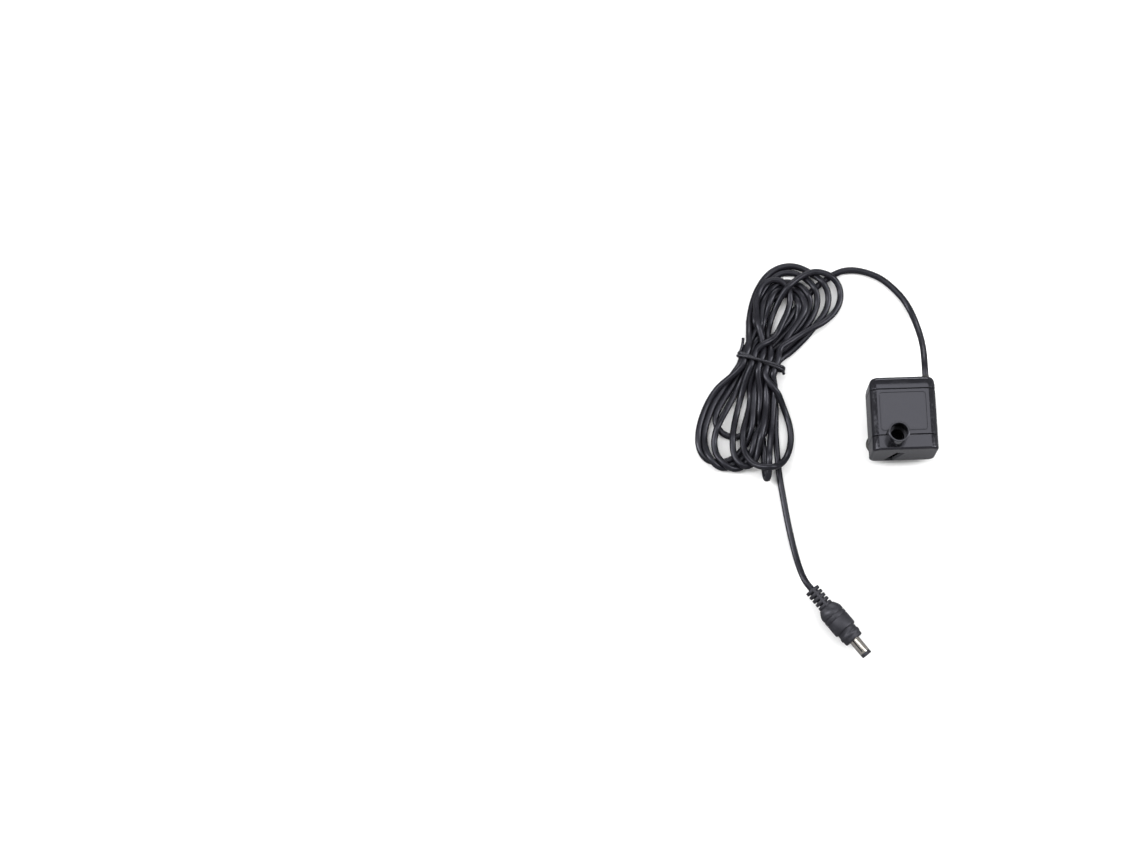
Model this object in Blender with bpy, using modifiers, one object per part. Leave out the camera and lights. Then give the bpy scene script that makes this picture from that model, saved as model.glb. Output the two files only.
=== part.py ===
"""Small submersible fountain pump with its cord, tied hank and barrel plug.

Metres, +Z up. The pump lies on its suction cups with the outlet nozzle up: X is its width, Y its length with
the cord at the +Y end and the intake slot at the -Y end. The origin is on the floor, under its middle.
"""
import math

import bmesh
import bpy
from mathutils import Matrix, Vector

MM = 0.001

# Fits
GAP = 0.3 * MM                  # between pieces that touch
RUNNING = 0.08 * MM             # radial clearance of the pin in what turns on it
OVERLAP = 0.2 * MM              # how far a joined or cut shape runs past the face it meets

# Pump body
BODY_WIDTH = 33.5 * MM
BODY_LENGTH = 38.2 * MM
BODY_DEPTH = 26.0 * MM
CUP_HEIGHT = 4.0 * MM           # the body stands this high over the floor
COVER_LENGTH = 7.6 * MM
CAP_LENGTH = 6.6 * MM
WALL = 1.5 * MM
LONG_EDGE_RADIUS = 4.5 * MM
COVER_END_RADIUS = 1.2 * MM
CAP_END_RADIUS = 2.3 * MM
SEAM_BEVEL = 0.25 * MM
CAP_LIP_LENGTH = 1.4 * MM
CAP_LIP_WALL = 1.0 * MM
BULKHEAD_THICKNESS = 1.4 * MM

# Outlined panel on the front face
PANEL_WIDTH = 23.2 * MM
PANEL_LENGTH = 19.7 * MM
PANEL_OFFSET_X = -0.5 * MM
PANEL_TO_CAP_SEAM = 2.0 * MM
PANEL_CORNER_RADIUS = 1.5 * MM
PANEL_GROOVE_WIDTH = 0.5 * MM
PANEL_GROOVE_DEPTH = 0.3 * MM

# Outlet nozzle
NOZZLE_OFFSET_X = -4.4 * MM
NOZZLE_PAST_SEAM = 0.8 * MM     # its axis lies this far on the cover's side of the seam
NOZZLE_RADIUS = 5.3 * MM
NOZZLE_BORE_RADIUS = 4.3 * MM
NOZZLE_HEIGHT = 10.2 * MM
PORT_RADIUS = 3.6 * MM
PORT_WALL = 0.6 * MM
NOZZLE_STEP = 0.8 * MM          # floor of the wide bore, over the narrower port

# Intake slot
SLOT_LENGTH = 14.5 * MM
SLOT_WIDTH = 2.8 * MM
SLOT_TILT = math.radians(17.7)
SLOT_OFFSET_X = -4.5 * MM
SLOT_DROP = 3.4 * MM            # its middle lies this far under the shaft
SLOT_CHAMFER = 1.0 * MM

# Pump chamber and intake plate
CHAMBER_RADIUS = 9.8 * MM
CHAMBER_WALL = 1.2 * MM
SEAL_THICKNESS = 1.0 * MM
INTAKE_GAP = 1.1 * MM
PLATE_THICKNESS = 1.0 * MM
EYE_RADIUS = 4.6 * MM
SPOKE_COUNT = 3
SPOKE_WIDTH = 1.3 * MM
HOLDER_WALL = 0.8 * MM
HOLDER_LENGTH = 1.8 * MM
HOLDER_DEPTH = 1.2 * MM
HOLDER_STAND_OFF = 0.7 * MM     # from the plate's front to the foot of its shaft holder

# Shaft, rotor and impeller
SHAFT_RADIUS = 1.0 * MM
WASHER_THICKNESS = 0.5 * MM
WASHER_RADIUS = 2.3 * MM
SLEEVE_WALL = 1.4 * MM
MAGNET_RADIUS = 4.2 * MM
MAGNET_LENGTH = 9.0 * MM
IMPELLER_RADIUS = 8.0 * MM
IMPELLER_DISC_THICKNESS = 1.0 * MM
VANE_HEIGHT = 4.1 * MM
VANE_THICKNESS = 0.9 * MM
VANE_COUNT = 6
DISC_TO_BULKHEAD = 1.0 * MM
WELL_CLEARANCE = 0.4 * MM
WELL_WALL = 0.7 * MM
WELL_LENGTH = 14.4 * MM

# Stator
STATOR_WIDTH = 21.6 * MM
STATOR_LENGTH = 8.4 * MM
YOKE_WALL = 1.4 * MM
POLE_WIDTH = 2.6 * MM
SHOE_THICKNESS = 0.7 * MM
SHOE_SLIT = 1.8 * MM
COIL_THICKNESS = 1.8 * MM
COIL_EDGE_RADIUS = 1.4 * MM
STATOR_TO_BULKHEAD = 2.5 * MM

# Driver board
BOARD_WIDTH = 25.0 * MM
BOARD_HEIGHT = 18.0 * MM
BOARD_THICKNESS = 0.8 * MM
CHIP_SIZE = (4.9 * MM, 1.5 * MM, 3.9 * MM)
CHIP_PLACE = (-7.5 * MM, 3.5 * MM)
CAPACITOR_RADIUS = 2.5 * MM
CAPACITOR_LENGTH = 7.0 * MM
CAPACITOR_PLACE = (-2.5 * MM, -4.0 * MM)
HALL_SIZE = (3.0 * MM, 2.8 * MM, 1.5 * MM)
HALL_RADIUS = 7.4 * MM
RESIN_THICKNESS = 2.0 * MM
LEAD_RADIUS = 0.55 * MM
LEAD_HOLE_RADIUS = 1.2 * MM
LEAD_SPACING = 1.6 * MM         # each wire's distance from the middle plane at the board
LEAD_PAD_X = 7.5 * MM

# Suction cups: two near the intake end, one near the cord end
CUP_RADIUS = 5.2 * MM
CUP_STEM_RADIUS = 1.6 * MM
CUP_SEAT_DEPTH = 0.8 * MM
CUP_NECK_WALL = 0.5 * MM
CUP_NECK_HEIGHT = 0.9 * MM
CUP_BELL_RADIUS = 3.75 * MM
CUP_BELL_HEIGHT = 1.5 * MM
CUP_RIM_WIDTH = 0.7 * MM
CUP_RIM_HEIGHT = 0.35 * MM
CUP_HOLLOW_RADIUS = 2.6 * MM
CUP_HOLLOW_SHOULDER = 1.0 * MM
CUP_HOLLOW_HEIGHT = 1.3 * MM
CUP_PAIR_X = 11.9 * MM
CUP_FROM_SEAM = 2.3 * MM
CUP_REAR_Y = 8.5 * MM

# Cord and where it leaves the cap
CORD_RADIUS = 1.65 * MM
GLAND_X = 13.0 * MM
GLAND_Z = 21.0 * MM
GLAND_RADIUS = 2.0 * MM
GLAND_TIP_RADIUS = 1.75 * MM
GLAND_OUTSIDE = 2.2 * MM
GLAND_INSIDE = 1.6 * MM

# Hank, tie and plug
HANK_HEIGHT = 10.0 * MM
HANK_FLOOR_GAP = 0.1 * MM
TIE_RADIUS = 0.75 * MM
TIE_CENTRE = (-69.7 * MM, 34.4 * MM)
TIE_ANGLE = math.radians(-21)
TIE_REACH = 12.3 * MM           # half the length of the loop that the tie makes
TIE_CORNER_RADIUS = 2.0 * MM
PLUG_REAR = (-49.4 * MM, -85.0 * MM, 6.3 * MM)
PLUG_TIP = (-23.2 * MM, -119.4 * MM, 6.3 * MM)
STRAIN_RELIEF_LENGTH = 11.5 * MM
STRAIN_RELIEF_CORE = 2.3 * MM
RIB_COUNT = 5
RIB_PITCH = 2.45 * MM
RIB_THICKNESS = 1.3 * MM
RIB_RADIUS = 3.4 * MM
SPINE_WIDTH = 1.6 * MM
PLUG_CONE_LENGTH = 3.2 * MM
PLUG_BODY_RADIUS = 6.1 * MM
PLUG_BODY_LENGTH = 12.0 * MM
PLUG_GROOVES = (2.4 * MM, 4.8 * MM)
PLUG_GROOVE_WIDTH = 0.5 * MM
PLUG_GROOVE_DEPTH = 0.35 * MM
COLLAR_RADIUS = 5.1 * MM
COLLAR_LENGTH = 6.6 * MM
COLLAR_RIDGE_RADIUS = 5.5 * MM
COLLAR_RIDGE_LENGTH = 1.2 * MM
COLLAR_CHAMFER = 0.4 * MM
PLUG_BODY_CHAMFER = 0.5 * MM
PLUG_SOCKET_DEPTH = 4.0 * MM
BARREL_RADIUS = 2.75 * MM
BARREL_WALL = 0.45 * MM
TIP_LENGTH = 1.6 * MM
CONTACT_BORE_RADIUS = 1.05 * MM
CONTACT_WALL = 0.3 * MM
INSULATOR_RADIUS = 2.0 * MM
INSULATOR_WALL = 0.35 * MM

# Places along Y, from the intake end to the cord end
COVER_END = -BODY_LENGTH / 2
COVER_SEAM = COVER_END + COVER_LENGTH
CAP_END = BODY_LENGTH / 2
CAP_SEAM = CAP_END - CAP_LENGTH
PLATE_FRONT = COVER_END + WALL + INTAKE_GAP
PLATE_BACK = PLATE_FRONT + PLATE_THICKNESS
HOLDER_FACE = PLATE_FRONT + HOLDER_STAND_OFF + HOLDER_LENGTH
BODY_FLOOR = CUP_HEIGHT
BODY_TOP = BODY_FLOOR + BODY_DEPTH
AXIS_Z = BODY_FLOOR + BODY_DEPTH / 2
NOZZLE_Y = COVER_SEAM - NOZZLE_PAST_SEAM
CHAMBER_END = NOZZLE_Y + PORT_RADIUS + PORT_WALL
SEAL_FRONT = CHAMBER_END + GAP
BULKHEAD_FRONT = SEAL_FRONT + SEAL_THICKNESS + GAP
BULKHEAD_BACK = BULKHEAD_FRONT + BULKHEAD_THICKNESS
WELL_RADIUS = MAGNET_RADIUS + WELL_CLEARANCE
WELL_FLOOR = BULKHEAD_FRONT + WELL_LENGTH
REAR_HOLDER_BACK = WELL_FLOOR - GAP
REAR_HOLDER_FACE = REAR_HOLDER_BACK - HOLDER_LENGTH
SLEEVE_FRONT = HOLDER_FACE + GAP + WASHER_THICKNESS + GAP
SLEEVE_BACK = REAR_HOLDER_FACE - GAP - WASHER_THICKNESS - GAP
SLEEVE_RADIUS = SHAFT_RADIUS + RUNNING + SLEEVE_WALL
DISC_BACK = BULKHEAD_FRONT - DISC_TO_BULKHEAD
STATOR_FRONT = BULKHEAD_BACK + STATOR_TO_BULKHEAD
STATOR_BACK = STATOR_FRONT + STATOR_LENGTH
STATOR_BORE = WELL_RADIUS + WELL_WALL + GAP
BOARD_FRONT = max(WELL_FLOOR + WELL_WALL, STATOR_BACK + GAP + COIL_THICKNESS) + GAP
BOARD_BACK = BOARD_FRONT + BOARD_THICKNESS

STEPS = 40                      # facets of the larger turned pieces
FINE_STEPS = 28                 # facets of the small ones

# The cord's route, one point after another along its axis
LEAD_ROUTE = (
    (GLAND_X, CAP_END + GLAND_OUTSIDE + GAP + OVERLAP, GLAND_Z),
    (13.0 * MM, 26.5 * MM, 20.9 * MM),
    (13.4 * MM, 37.0 * MM, 15.8 * MM),
    (13.1 * MM, 46.5 * MM, 9.0 * MM),
    (11.6 * MM, 55.5 * MM, 4.0 * MM),
    (9.0 * MM, 63.4 * MM, 1.9 * MM),
    (4.8 * MM, 70.3 * MM, 1.7 * MM),
    (-4.8 * MM, 79.6 * MM, 1.7 * MM),
    (-15.6 * MM, 84.0 * MM, 1.9 * MM),
    (-23.5 * MM, 84.3 * MM, 2.0 * MM),
    (-29.2 * MM, 82.1 * MM, 2.2 * MM),
)
TAIL_ROUTE = (
    (-62.6 * MM, -23.8 * MM, 2.0 * MM),
    (-61.4 * MM, -34.0 * MM, 1.8 * MM),
    (-59.7 * MM, -47.0 * MM, 1.7 * MM),
    (-57.9 * MM, -58.3 * MM, 1.8 * MM),
    (-55.9 * MM, -68.6 * MM, 2.9 * MM),
    (-53.8 * MM, -77.0 * MM, 5.2 * MM),
    (-51.8 * MM, -81.7 * MM, 6.3 * MM),
    (-49.7 * MM, -84.5 * MM, 6.3 * MM),
)
CORD_STEP = 8.0 * MM            # distance between the points read from the smooth route

# Outline of the hank, once round: a bow with its waist at the tie
HANK_OUTLINE = (
    (-79.0 * MM, 40.5 * MM),
    (-75.5 * MM, 51.0 * MM),
    (-72.5 * MM, 66.0 * MM),
    (-66.5 * MM, 78.5 * MM),
    (-58.0 * MM, 86.0 * MM),
    (-47.0 * MM, 87.0 * MM),
    (-34.0 * MM, 83.5 * MM),
    (-26.6 * MM, 77.0 * MM),
    (-26.5 * MM, 67.0 * MM),
    (-36.0 * MM, 55.5 * MM),
    (-51.0 * MM, 43.0 * MM),
    (-58.5 * MM, 33.5 * MM),
    (-60.5 * MM, 24.5 * MM),
    (-56.5 * MM, 9.0 * MM),
    (-53.0 * MM, -4.0 * MM),
    (-56.0 * MM, -16.0 * MM),
    (-64.0 * MM, -23.5 * MM),
    (-76.0 * MM, -24.5 * MM),
    (-91.0 * MM, -20.5 * MM),
    (-102.5 * MM, -13.0 * MM),
    (-104.5 * MM, -1.5 * MM),
    (-97.0 * MM, 12.5 * MM),
    (-87.5 * MM, 26.0 * MM),
    (-80.5 * MM, 34.5 * MM),
)

BLACK = (0.012, 0.012, 0.014)
MATERIALS = {
    "gloss_black": (BLACK, 0.18, 0.0),
    "matt_black": ((0.02, 0.02, 0.022), 0.55, 0.0),
    "rubber": ((0.015, 0.015, 0.015), 0.7, 0.0),
    "white_plastic": ((0.75, 0.75, 0.72), 0.4, 0.0),
    "steel": ((0.6, 0.6, 0.62), 0.25, 1.0),
    "nickel": ((0.72, 0.70, 0.66), 0.2, 1.0),
    "ferrite": ((0.05, 0.05, 0.055), 0.45, 0.3),
    "copper": ((0.72, 0.30, 0.14), 0.3, 1.0),
    "board_green": ((0.02, 0.16, 0.07), 0.45, 0.0),
    "resin": ((0.03, 0.03, 0.03), 0.3, 0.0),
    "red_wire": ((0.5, 0.02, 0.02), 0.5, 0.0),
}


def clear_scene():
    for scene_object in list(bpy.data.objects):
        bpy.data.objects.remove(scene_object, do_unlink=True)


def make_collection(name):
    collection = bpy.data.collections.new(name)
    bpy.context.scene.collection.children.link(collection)
    return collection


def make_material(name, finish):
    colour, roughness, metallic = MATERIALS[finish]
    material = bpy.data.materials.new(name)
    material.use_nodes = True
    shader = material.node_tree.nodes["Principled BSDF"]
    shader.inputs["Base Color"].default_value = (*colour, 1.0)
    shader.inputs["Roughness"].default_value = roughness
    shader.inputs["Metallic"].default_value = metallic
    return material


def add_object(name, data, finish):
    """A named piece with its own material, or a cutter when finish is None."""
    piece = bpy.data.objects.new(name, data)
    if finish is None:
        cutters.objects.link(piece)
        piece.hide_render = True
        piece.display_type = "WIRE"
    else:
        parts.objects.link(piece)
        data.materials.append(make_material(name, finish))
    return piece


def mesh_object(name, bm, finish, smooth=False):
    mesh = bpy.data.meshes.new(name)
    bm.to_mesh(mesh)
    bm.free()
    if smooth:
        mesh.shade_smooth()
        mesh.set_sharp_from_angle(angle=math.radians(40))
    return add_object(name, mesh, finish)


def boolean(target, cutter, operation="DIFFERENCE"):
    modifier = target.modifiers.new(cutter.name, "BOOLEAN")
    modifier.operation = operation
    modifier.object = cutter
    modifier.solver = "EXACT"


def box(name, low, high, finish, turn=None):
    """A box between two corners, optionally turned in place about its centre."""
    size = Vector(high) - Vector(low)
    centre = (Vector(high) + Vector(low)) / 2
    bm = bmesh.new()
    bmesh.ops.create_cube(bm, size=1.0)
    bmesh.ops.scale(bm, vec=size, verts=bm.verts)
    piece = mesh_object(name, bm, finish)
    piece.location = centre
    if turn is not None:
        piece.rotation_euler = turn
    return piece


def rounded_block(name, low, high, edge_radius, finish, end_bevels=(), segments=6):
    """A box with its four edges along Y rounded. end_bevels lists (y, radius, segments) of its end faces."""
    size = Vector(high) - Vector(low)
    bm = bmesh.new()
    bmesh.ops.create_cube(bm, size=1.0)
    bmesh.ops.scale(bm, vec=size, verts=bm.verts)
    bmesh.ops.translate(bm, vec=(Vector(high) + Vector(low)) / 2, verts=bm.verts)
    long_edges = [e for e in bm.edges if abs(e.verts[0].co.y - e.verts[1].co.y) > size.y / 2]
    bmesh.ops.bevel(bm, geom=long_edges, offset=edge_radius, segments=segments, profile=0.5, affect="EDGES")
    for y, radius, steps in end_bevels:
        rim = [e for e in bm.edges if all(abs(v.co.y - y) < OVERLAP / 10 for v in e.verts)]
        bmesh.ops.bevel(bm, geom=rim, offset=radius, segments=steps, profile=0.5, affect="EDGES")
    return mesh_object(name, bm, finish, smooth=True)


def shell_section(name, y_low, y_high, inset, edge_radius, finish, end_bevels=()):
    """A block with the body's cross-section, inset from the body's outside."""
    half_width = BODY_WIDTH / 2 - inset
    low = (-half_width, y_low, BODY_FLOOR + inset)
    high = (half_width, y_high, BODY_TOP - inset)
    return rounded_block(name, low, high, edge_radius, finish, end_bevels)


def turned(name, profile, finish, steps=STEPS):
    """A turned piece about its own Z. The profile is (radius, height) points, down its outer side."""
    mesh = bpy.data.meshes.new(name)
    closed = profile[0][0] > 0
    count = len(profile)
    edges = [(i, i + 1) for i in range(count - 1)]
    if closed:
        edges.append((count - 1, 0))
    mesh.from_pydata([(radius, 0, height) for radius, height in profile], edges, [])
    piece = add_object(name, mesh, finish)
    screw = piece.modifiers.new("Turn", "SCREW")
    screw.axis = "Z"
    screw.angle = math.tau
    screw.steps = steps
    screw.render_steps = steps
    screw.use_merge_vertices = True
    screw.merge_threshold = 0.00001
    screw.use_smooth_shade = True
    return piece


def along_y(piece, x, z):
    """Lays a turned piece's axis along +Y, so that its heights are places along Y."""
    piece.rotation_euler = (-math.pi / 2, 0, 0)
    piece.location = (x, 0, z)
    return piece


def rod_y(name, x, z, radius, y_low, y_high, finish, steps=FINE_STEPS):
    profile = [(0, y_high), (radius, y_high), (radius, y_low), (0, y_low)]
    return along_y(turned(name, profile, finish, steps), x, z)


def rod_z(name, x, y, radius, z_low, z_high, finish, steps=FINE_STEPS):
    profile = [(0, z_high), (radius, z_high), (radius, z_low), (0, z_low)]
    piece = turned(name, profile, finish, steps)
    piece.location = (x, y, 0)
    return piece


def ring_y(name, inner, outer, y_low, y_high, finish, steps=STEPS):
    profile = [(outer, y_high), (outer, y_low), (inner, y_low), (inner, y_high)]
    return along_y(turned(name, profile, finish, steps), 0, AXIS_Z)


def smooth_points(route, step):
    """Points at even steps along the smooth curve through a route's points."""
    nodes = [Vector(point) for point in route]
    nodes = [2 * nodes[0] - nodes[1]] + nodes + [2 * nodes[-1] - nodes[-2]]
    fine = []
    pieces = 24
    for a, b, c, d in zip(nodes, nodes[1:], nodes[2:], nodes[3:]):
        for i in range(pieces):
            t = i / pieces
            fine.append(0.5 * (2 * b + (c - a) * t + (2 * a - 5 * b + 4 * c - d) * t ** 2
                               + (3 * b - a - 3 * c + d) * t ** 3))
    fine.append(nodes[-2])
    lengths = [0.0]
    for a, b in zip(fine, fine[1:]):
        lengths.append(lengths[-1] + (b - a).length)
    count = max(2, round(lengths[-1] / step))
    points = []
    for i in range(count + 1):
        place = lengths[-1] * i / count
        index = max(j for j, length in enumerate(lengths) if length <= place + OVERLAP / 1000)
        index = min(index, len(fine) - 2)
        part = (place - lengths[index]) / (lengths[index + 1] - lengths[index])
        points.append(fine[index].lerp(fine[index + 1], part))
    return points


def tube(name, points, radius, finish, cyclic=False):
    curve = bpy.data.curves.new(name, "CURVE")
    curve.dimensions = "3D"
    curve.bevel_depth = radius
    curve.bevel_resolution = 2
    curve.use_fill_caps = True
    spline = curve.splines.new("POLY")
    spline.points.add(len(points) - 1)
    for spline_point, point in zip(spline.points, points):
        spline_point.co = (*point, 1.0)
    spline.use_cyclic_u = cyclic
    return add_object(name, curve, finish)


def as_mesh(piece, finish):
    """Swaps a curve object for a closed mesh of the same shape and place."""
    evaluated = piece.evaluated_get(bpy.context.evaluated_depsgraph_get())
    mesh = bpy.data.meshes.new_from_object(evaluated)
    bm = bmesh.new()
    bm.from_mesh(mesh)
    bmesh.ops.remove_doubles(bm, verts=bm.verts, dist=0.00001)
    bm.to_mesh(mesh)
    bm.free()
    mesh.materials.clear()
    name = piece.name
    place = piece.matrix_world.copy()
    bpy.data.objects.remove(piece, do_unlink=True)
    solid = add_object(name, mesh, finish)
    solid.matrix_world = place
    return solid


def flat_outline(name, corners, thickness, finish, resolution=3):
    """A flat closed outline through the given points, rounded between them and made thick."""
    curve = bpy.data.curves.new(name, "CURVE")
    curve.dimensions = "2D"
    curve.fill_mode = "BOTH"
    curve.extrude = thickness / 2
    curve.resolution_u = resolution
    spline = curve.splines.new("BEZIER")
    spline.bezier_points.add(len(corners) - 1)
    for bezier_point, corner in zip(spline.bezier_points, corners):
        bezier_point.co = (*corner, 0)
        bezier_point.handle_left_type = "AUTO"
        bezier_point.handle_right_type = "AUTO"
    spline.use_cyclic_u = True
    piece = add_object(name, curve, finish)
    bpy.context.view_layer.update()
    return piece


def build_housing():
    near = COVER_SEAM + GAP / 2
    far = CAP_SEAM - GAP / 2
    housing = shell_section("motor_housing", near, far, 0, LONG_EDGE_RADIUS, "gloss_black",
                            ((near, SEAM_BEVEL, 1), (far, SEAM_BEVEL, 1)))
    inner_radius = LONG_EDGE_RADIUS - WALL
    wet = shell_section("housing_wet_side", COVER_SEAM - OVERLAP, BULKHEAD_FRONT, WALL, inner_radius, None)
    dry = shell_section("housing_dry_side", BULKHEAD_BACK, CAP_SEAM + OVERLAP, WALL, inner_radius, None)
    well = rod_y("rotor_well_wall", 0, AXIS_Z, WELL_RADIUS + WELL_WALL, BULKHEAD_FRONT + OVERLAP,
                 WELL_FLOOR + WELL_WALL, None, STEPS)
    well_bore = rod_y("rotor_well_bore", 0, AXIS_Z, WELL_RADIUS, BULKHEAD_FRONT - OVERLAP, WELL_FLOOR, None,
                      STEPS)
    boolean(housing, wet)
    boolean(housing, dry)
    boolean(housing, well, "UNION")
    boolean(housing, well_bore)
    notch = rod_z("nozzle_notch", NOZZLE_OFFSET_X, NOZZLE_Y, NOZZLE_RADIUS + GAP,
                  BODY_TOP - WALL - OVERLAP, BODY_TOP + OVERLAP, None, STEPS)
    boolean(housing, notch)
    panel_far = CAP_SEAM - PANEL_TO_CAP_SEAM
    panel_near = panel_far - PANEL_LENGTH
    boolean(housing, panel_groove(panel_near, panel_far))
    for index, (x, y) in enumerate(cup_places(), 1):
        seat = rod_z(f"cup_seat_{index}", x, y, CUP_STEM_RADIUS + GAP, BODY_FLOOR - OVERLAP,
                     BODY_FLOOR + CUP_SEAT_DEPTH + GAP, None)
        boolean(housing, seat)


def panel_groove(y_near, y_far):
    """A shallow rounded frame, cut into the front face."""
    half = PANEL_WIDTH / 2
    step = PANEL_GROOVE_WIDTH / 2
    depth_low = BODY_TOP - PANEL_GROOVE_DEPTH
    outer_low = (PANEL_OFFSET_X - half - step, y_near - step, depth_low)
    outer_high = (PANEL_OFFSET_X + half + step, y_far + step, BODY_TOP + OVERLAP)
    inner_low = (PANEL_OFFSET_X - half + step, y_near + step, depth_low - OVERLAP)
    inner_high = (PANEL_OFFSET_X + half - step, y_far - step, BODY_TOP + 2 * OVERLAP)
    groove = upright_block("panel_groove", outer_low, outer_high, PANEL_CORNER_RADIUS + step)
    core = upright_block("panel_groove_core", inner_low, inner_high, PANEL_CORNER_RADIUS - step)
    boolean(groove, core)
    return groove


def upright_block(name, low, high, edge_radius):
    """A cutter box whose four edges along Z are rounded."""
    size = Vector(high) - Vector(low)
    bm = bmesh.new()
    bmesh.ops.create_cube(bm, size=1.0)
    bmesh.ops.scale(bm, vec=size, verts=bm.verts)
    bmesh.ops.translate(bm, vec=(Vector(high) + Vector(low)) / 2, verts=bm.verts)
    upright = [e for e in bm.edges if abs(e.verts[0].co.z - e.verts[1].co.z) > size.z / 2]
    bmesh.ops.bevel(bm, geom=upright, offset=edge_radius, segments=4, profile=0.5, affect="EDGES")
    return mesh_object(name, bm, None)


def build_cap():
    cap = shell_section("end_cap", CAP_SEAM + GAP / 2, CAP_END, 0, LONG_EDGE_RADIUS, "gloss_black",
                        ((CAP_SEAM + GAP / 2, SEAM_BEVEL, 1), (CAP_END, CAP_END_RADIUS, 4)))
    lip = shell_section("cap_lip", CAP_SEAM - CAP_LIP_LENGTH, CAP_SEAM + WALL, WALL + GAP,
                        LONG_EDGE_RADIUS - WALL - GAP, None)
    hollow = shell_section("cap_hollow", CAP_SEAM - CAP_LIP_LENGTH - OVERLAP, CAP_END - WALL,
                           WALL + GAP + CAP_LIP_WALL, LONG_EDGE_RADIUS - WALL - GAP - CAP_LIP_WALL, None)
    gland_hole = rod_y("gland_hole", GLAND_X, GLAND_Z, GLAND_RADIUS + GAP, CAP_SEAM + WALL,
                       CAP_END + OVERLAP, None)
    boolean(cap, lip, "UNION")
    boolean(cap, hollow)
    boolean(cap, gland_hole)


def build_gland():
    outer = CAP_END + GLAND_OUTSIDE
    inner = CAP_END - WALL - GLAND_INSIDE
    profile = [(0, outer), (GLAND_TIP_RADIUS, outer), (GLAND_RADIUS, CAP_END), (GLAND_RADIUS, inner), (0, inner)]
    along_y(turned("cable_gland", profile, "rubber", FINE_STEPS), GLAND_X, GLAND_Z)


def build_cover():
    cover = shell_section("impeller_cover", COVER_END, COVER_SEAM - GAP / 2, 0, LONG_EDGE_RADIUS,
                          "gloss_black", ((COVER_SEAM - GAP / 2, SEAM_BEVEL, 1),
                                          (COVER_END, COVER_END_RADIUS, 3)))
    hollow = shell_section("cover_hollow", COVER_END + WALL, COVER_SEAM + OVERLAP, WALL,
                           LONG_EDGE_RADIUS - WALL, None)
    ring = rod_y("chamber_wall", 0, AXIS_Z, CHAMBER_RADIUS + CHAMBER_WALL, COVER_END + WALL - OVERLAP / 2,
                 CHAMBER_END, None, STEPS)
    nozzle_top = BODY_TOP + NOZZLE_HEIGHT
    nozzle_base = BODY_TOP - WALL + OVERLAP
    neck_radius = PORT_RADIUS + PORT_WALL - OVERLAP / 2
    neck_low = AXIS_Z + CHAMBER_RADIUS / 2
    profile = [(0, nozzle_top), (NOZZLE_RADIUS, nozzle_top), (NOZZLE_RADIUS, nozzle_base),
               (neck_radius, nozzle_base), (neck_radius, neck_low), (0, neck_low)]
    nozzle = turned("nozzle_wall", profile, None)
    nozzle.location = (NOZZLE_OFFSET_X, NOZZLE_Y, 0)
    chamber = rod_y("chamber_bore", 0, AXIS_Z, CHAMBER_RADIUS, COVER_END + WALL - OVERLAP,
                    CHAMBER_END + OVERLAP, None, STEPS)
    bore_floor = nozzle_base + NOZZLE_STEP
    profile = [(0, nozzle_top + OVERLAP), (NOZZLE_BORE_RADIUS, nozzle_top + OVERLAP),
               (NOZZLE_BORE_RADIUS, bore_floor), (PORT_RADIUS, bore_floor), (PORT_RADIUS, neck_low),
               (0, neck_low)]
    bore = turned("nozzle_bore", profile, None)
    bore.location = nozzle.location
    boolean(chamber, bore, "UNION")
    boolean(cover, intake_slot())
    boolean(cover, hollow)
    boolean(cover, ring, "UNION")
    boolean(cover, nozzle, "UNION")
    boolean(cover, chamber)


def intake_slot():
    """A straight slot through the end wall, tilted in its plane, its outer edge chamfered all round."""
    flare_size = SLOT_CHAMFER + OVERLAP
    straight = WALL - SLOT_CHAMFER + OVERLAP
    bm = bmesh.new()
    bmesh.ops.create_cube(bm, size=1.0)
    bmesh.ops.scale(bm, vec=(SLOT_WIDTH, straight, SLOT_LENGTH), verts=bm.verts)
    mouth = [f for f in bm.faces if f.normal.y < -0.5]
    flare = bmesh.ops.extrude_face_region(bm, geom=mouth)
    rim = [v for v in flare["geom"] if isinstance(v, bmesh.types.BMVert)]
    bmesh.ops.delete(bm, geom=mouth, context="FACES")
    for vert in rim:
        vert.co.x += math.copysign(flare_size, vert.co.x)
        vert.co.z += math.copysign(flare_size, vert.co.z)
        vert.co.y -= flare_size
    bmesh.ops.recalc_face_normals(bm, faces=bm.faces)
    slot = mesh_object("intake_slot", bm, None)
    slot.rotation_euler = (0, SLOT_TILT, 0)
    slot.location = (SLOT_OFFSET_X, COVER_END + SLOT_CHAMFER + straight / 2, AXIS_Z - SLOT_DROP)
    return slot


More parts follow.
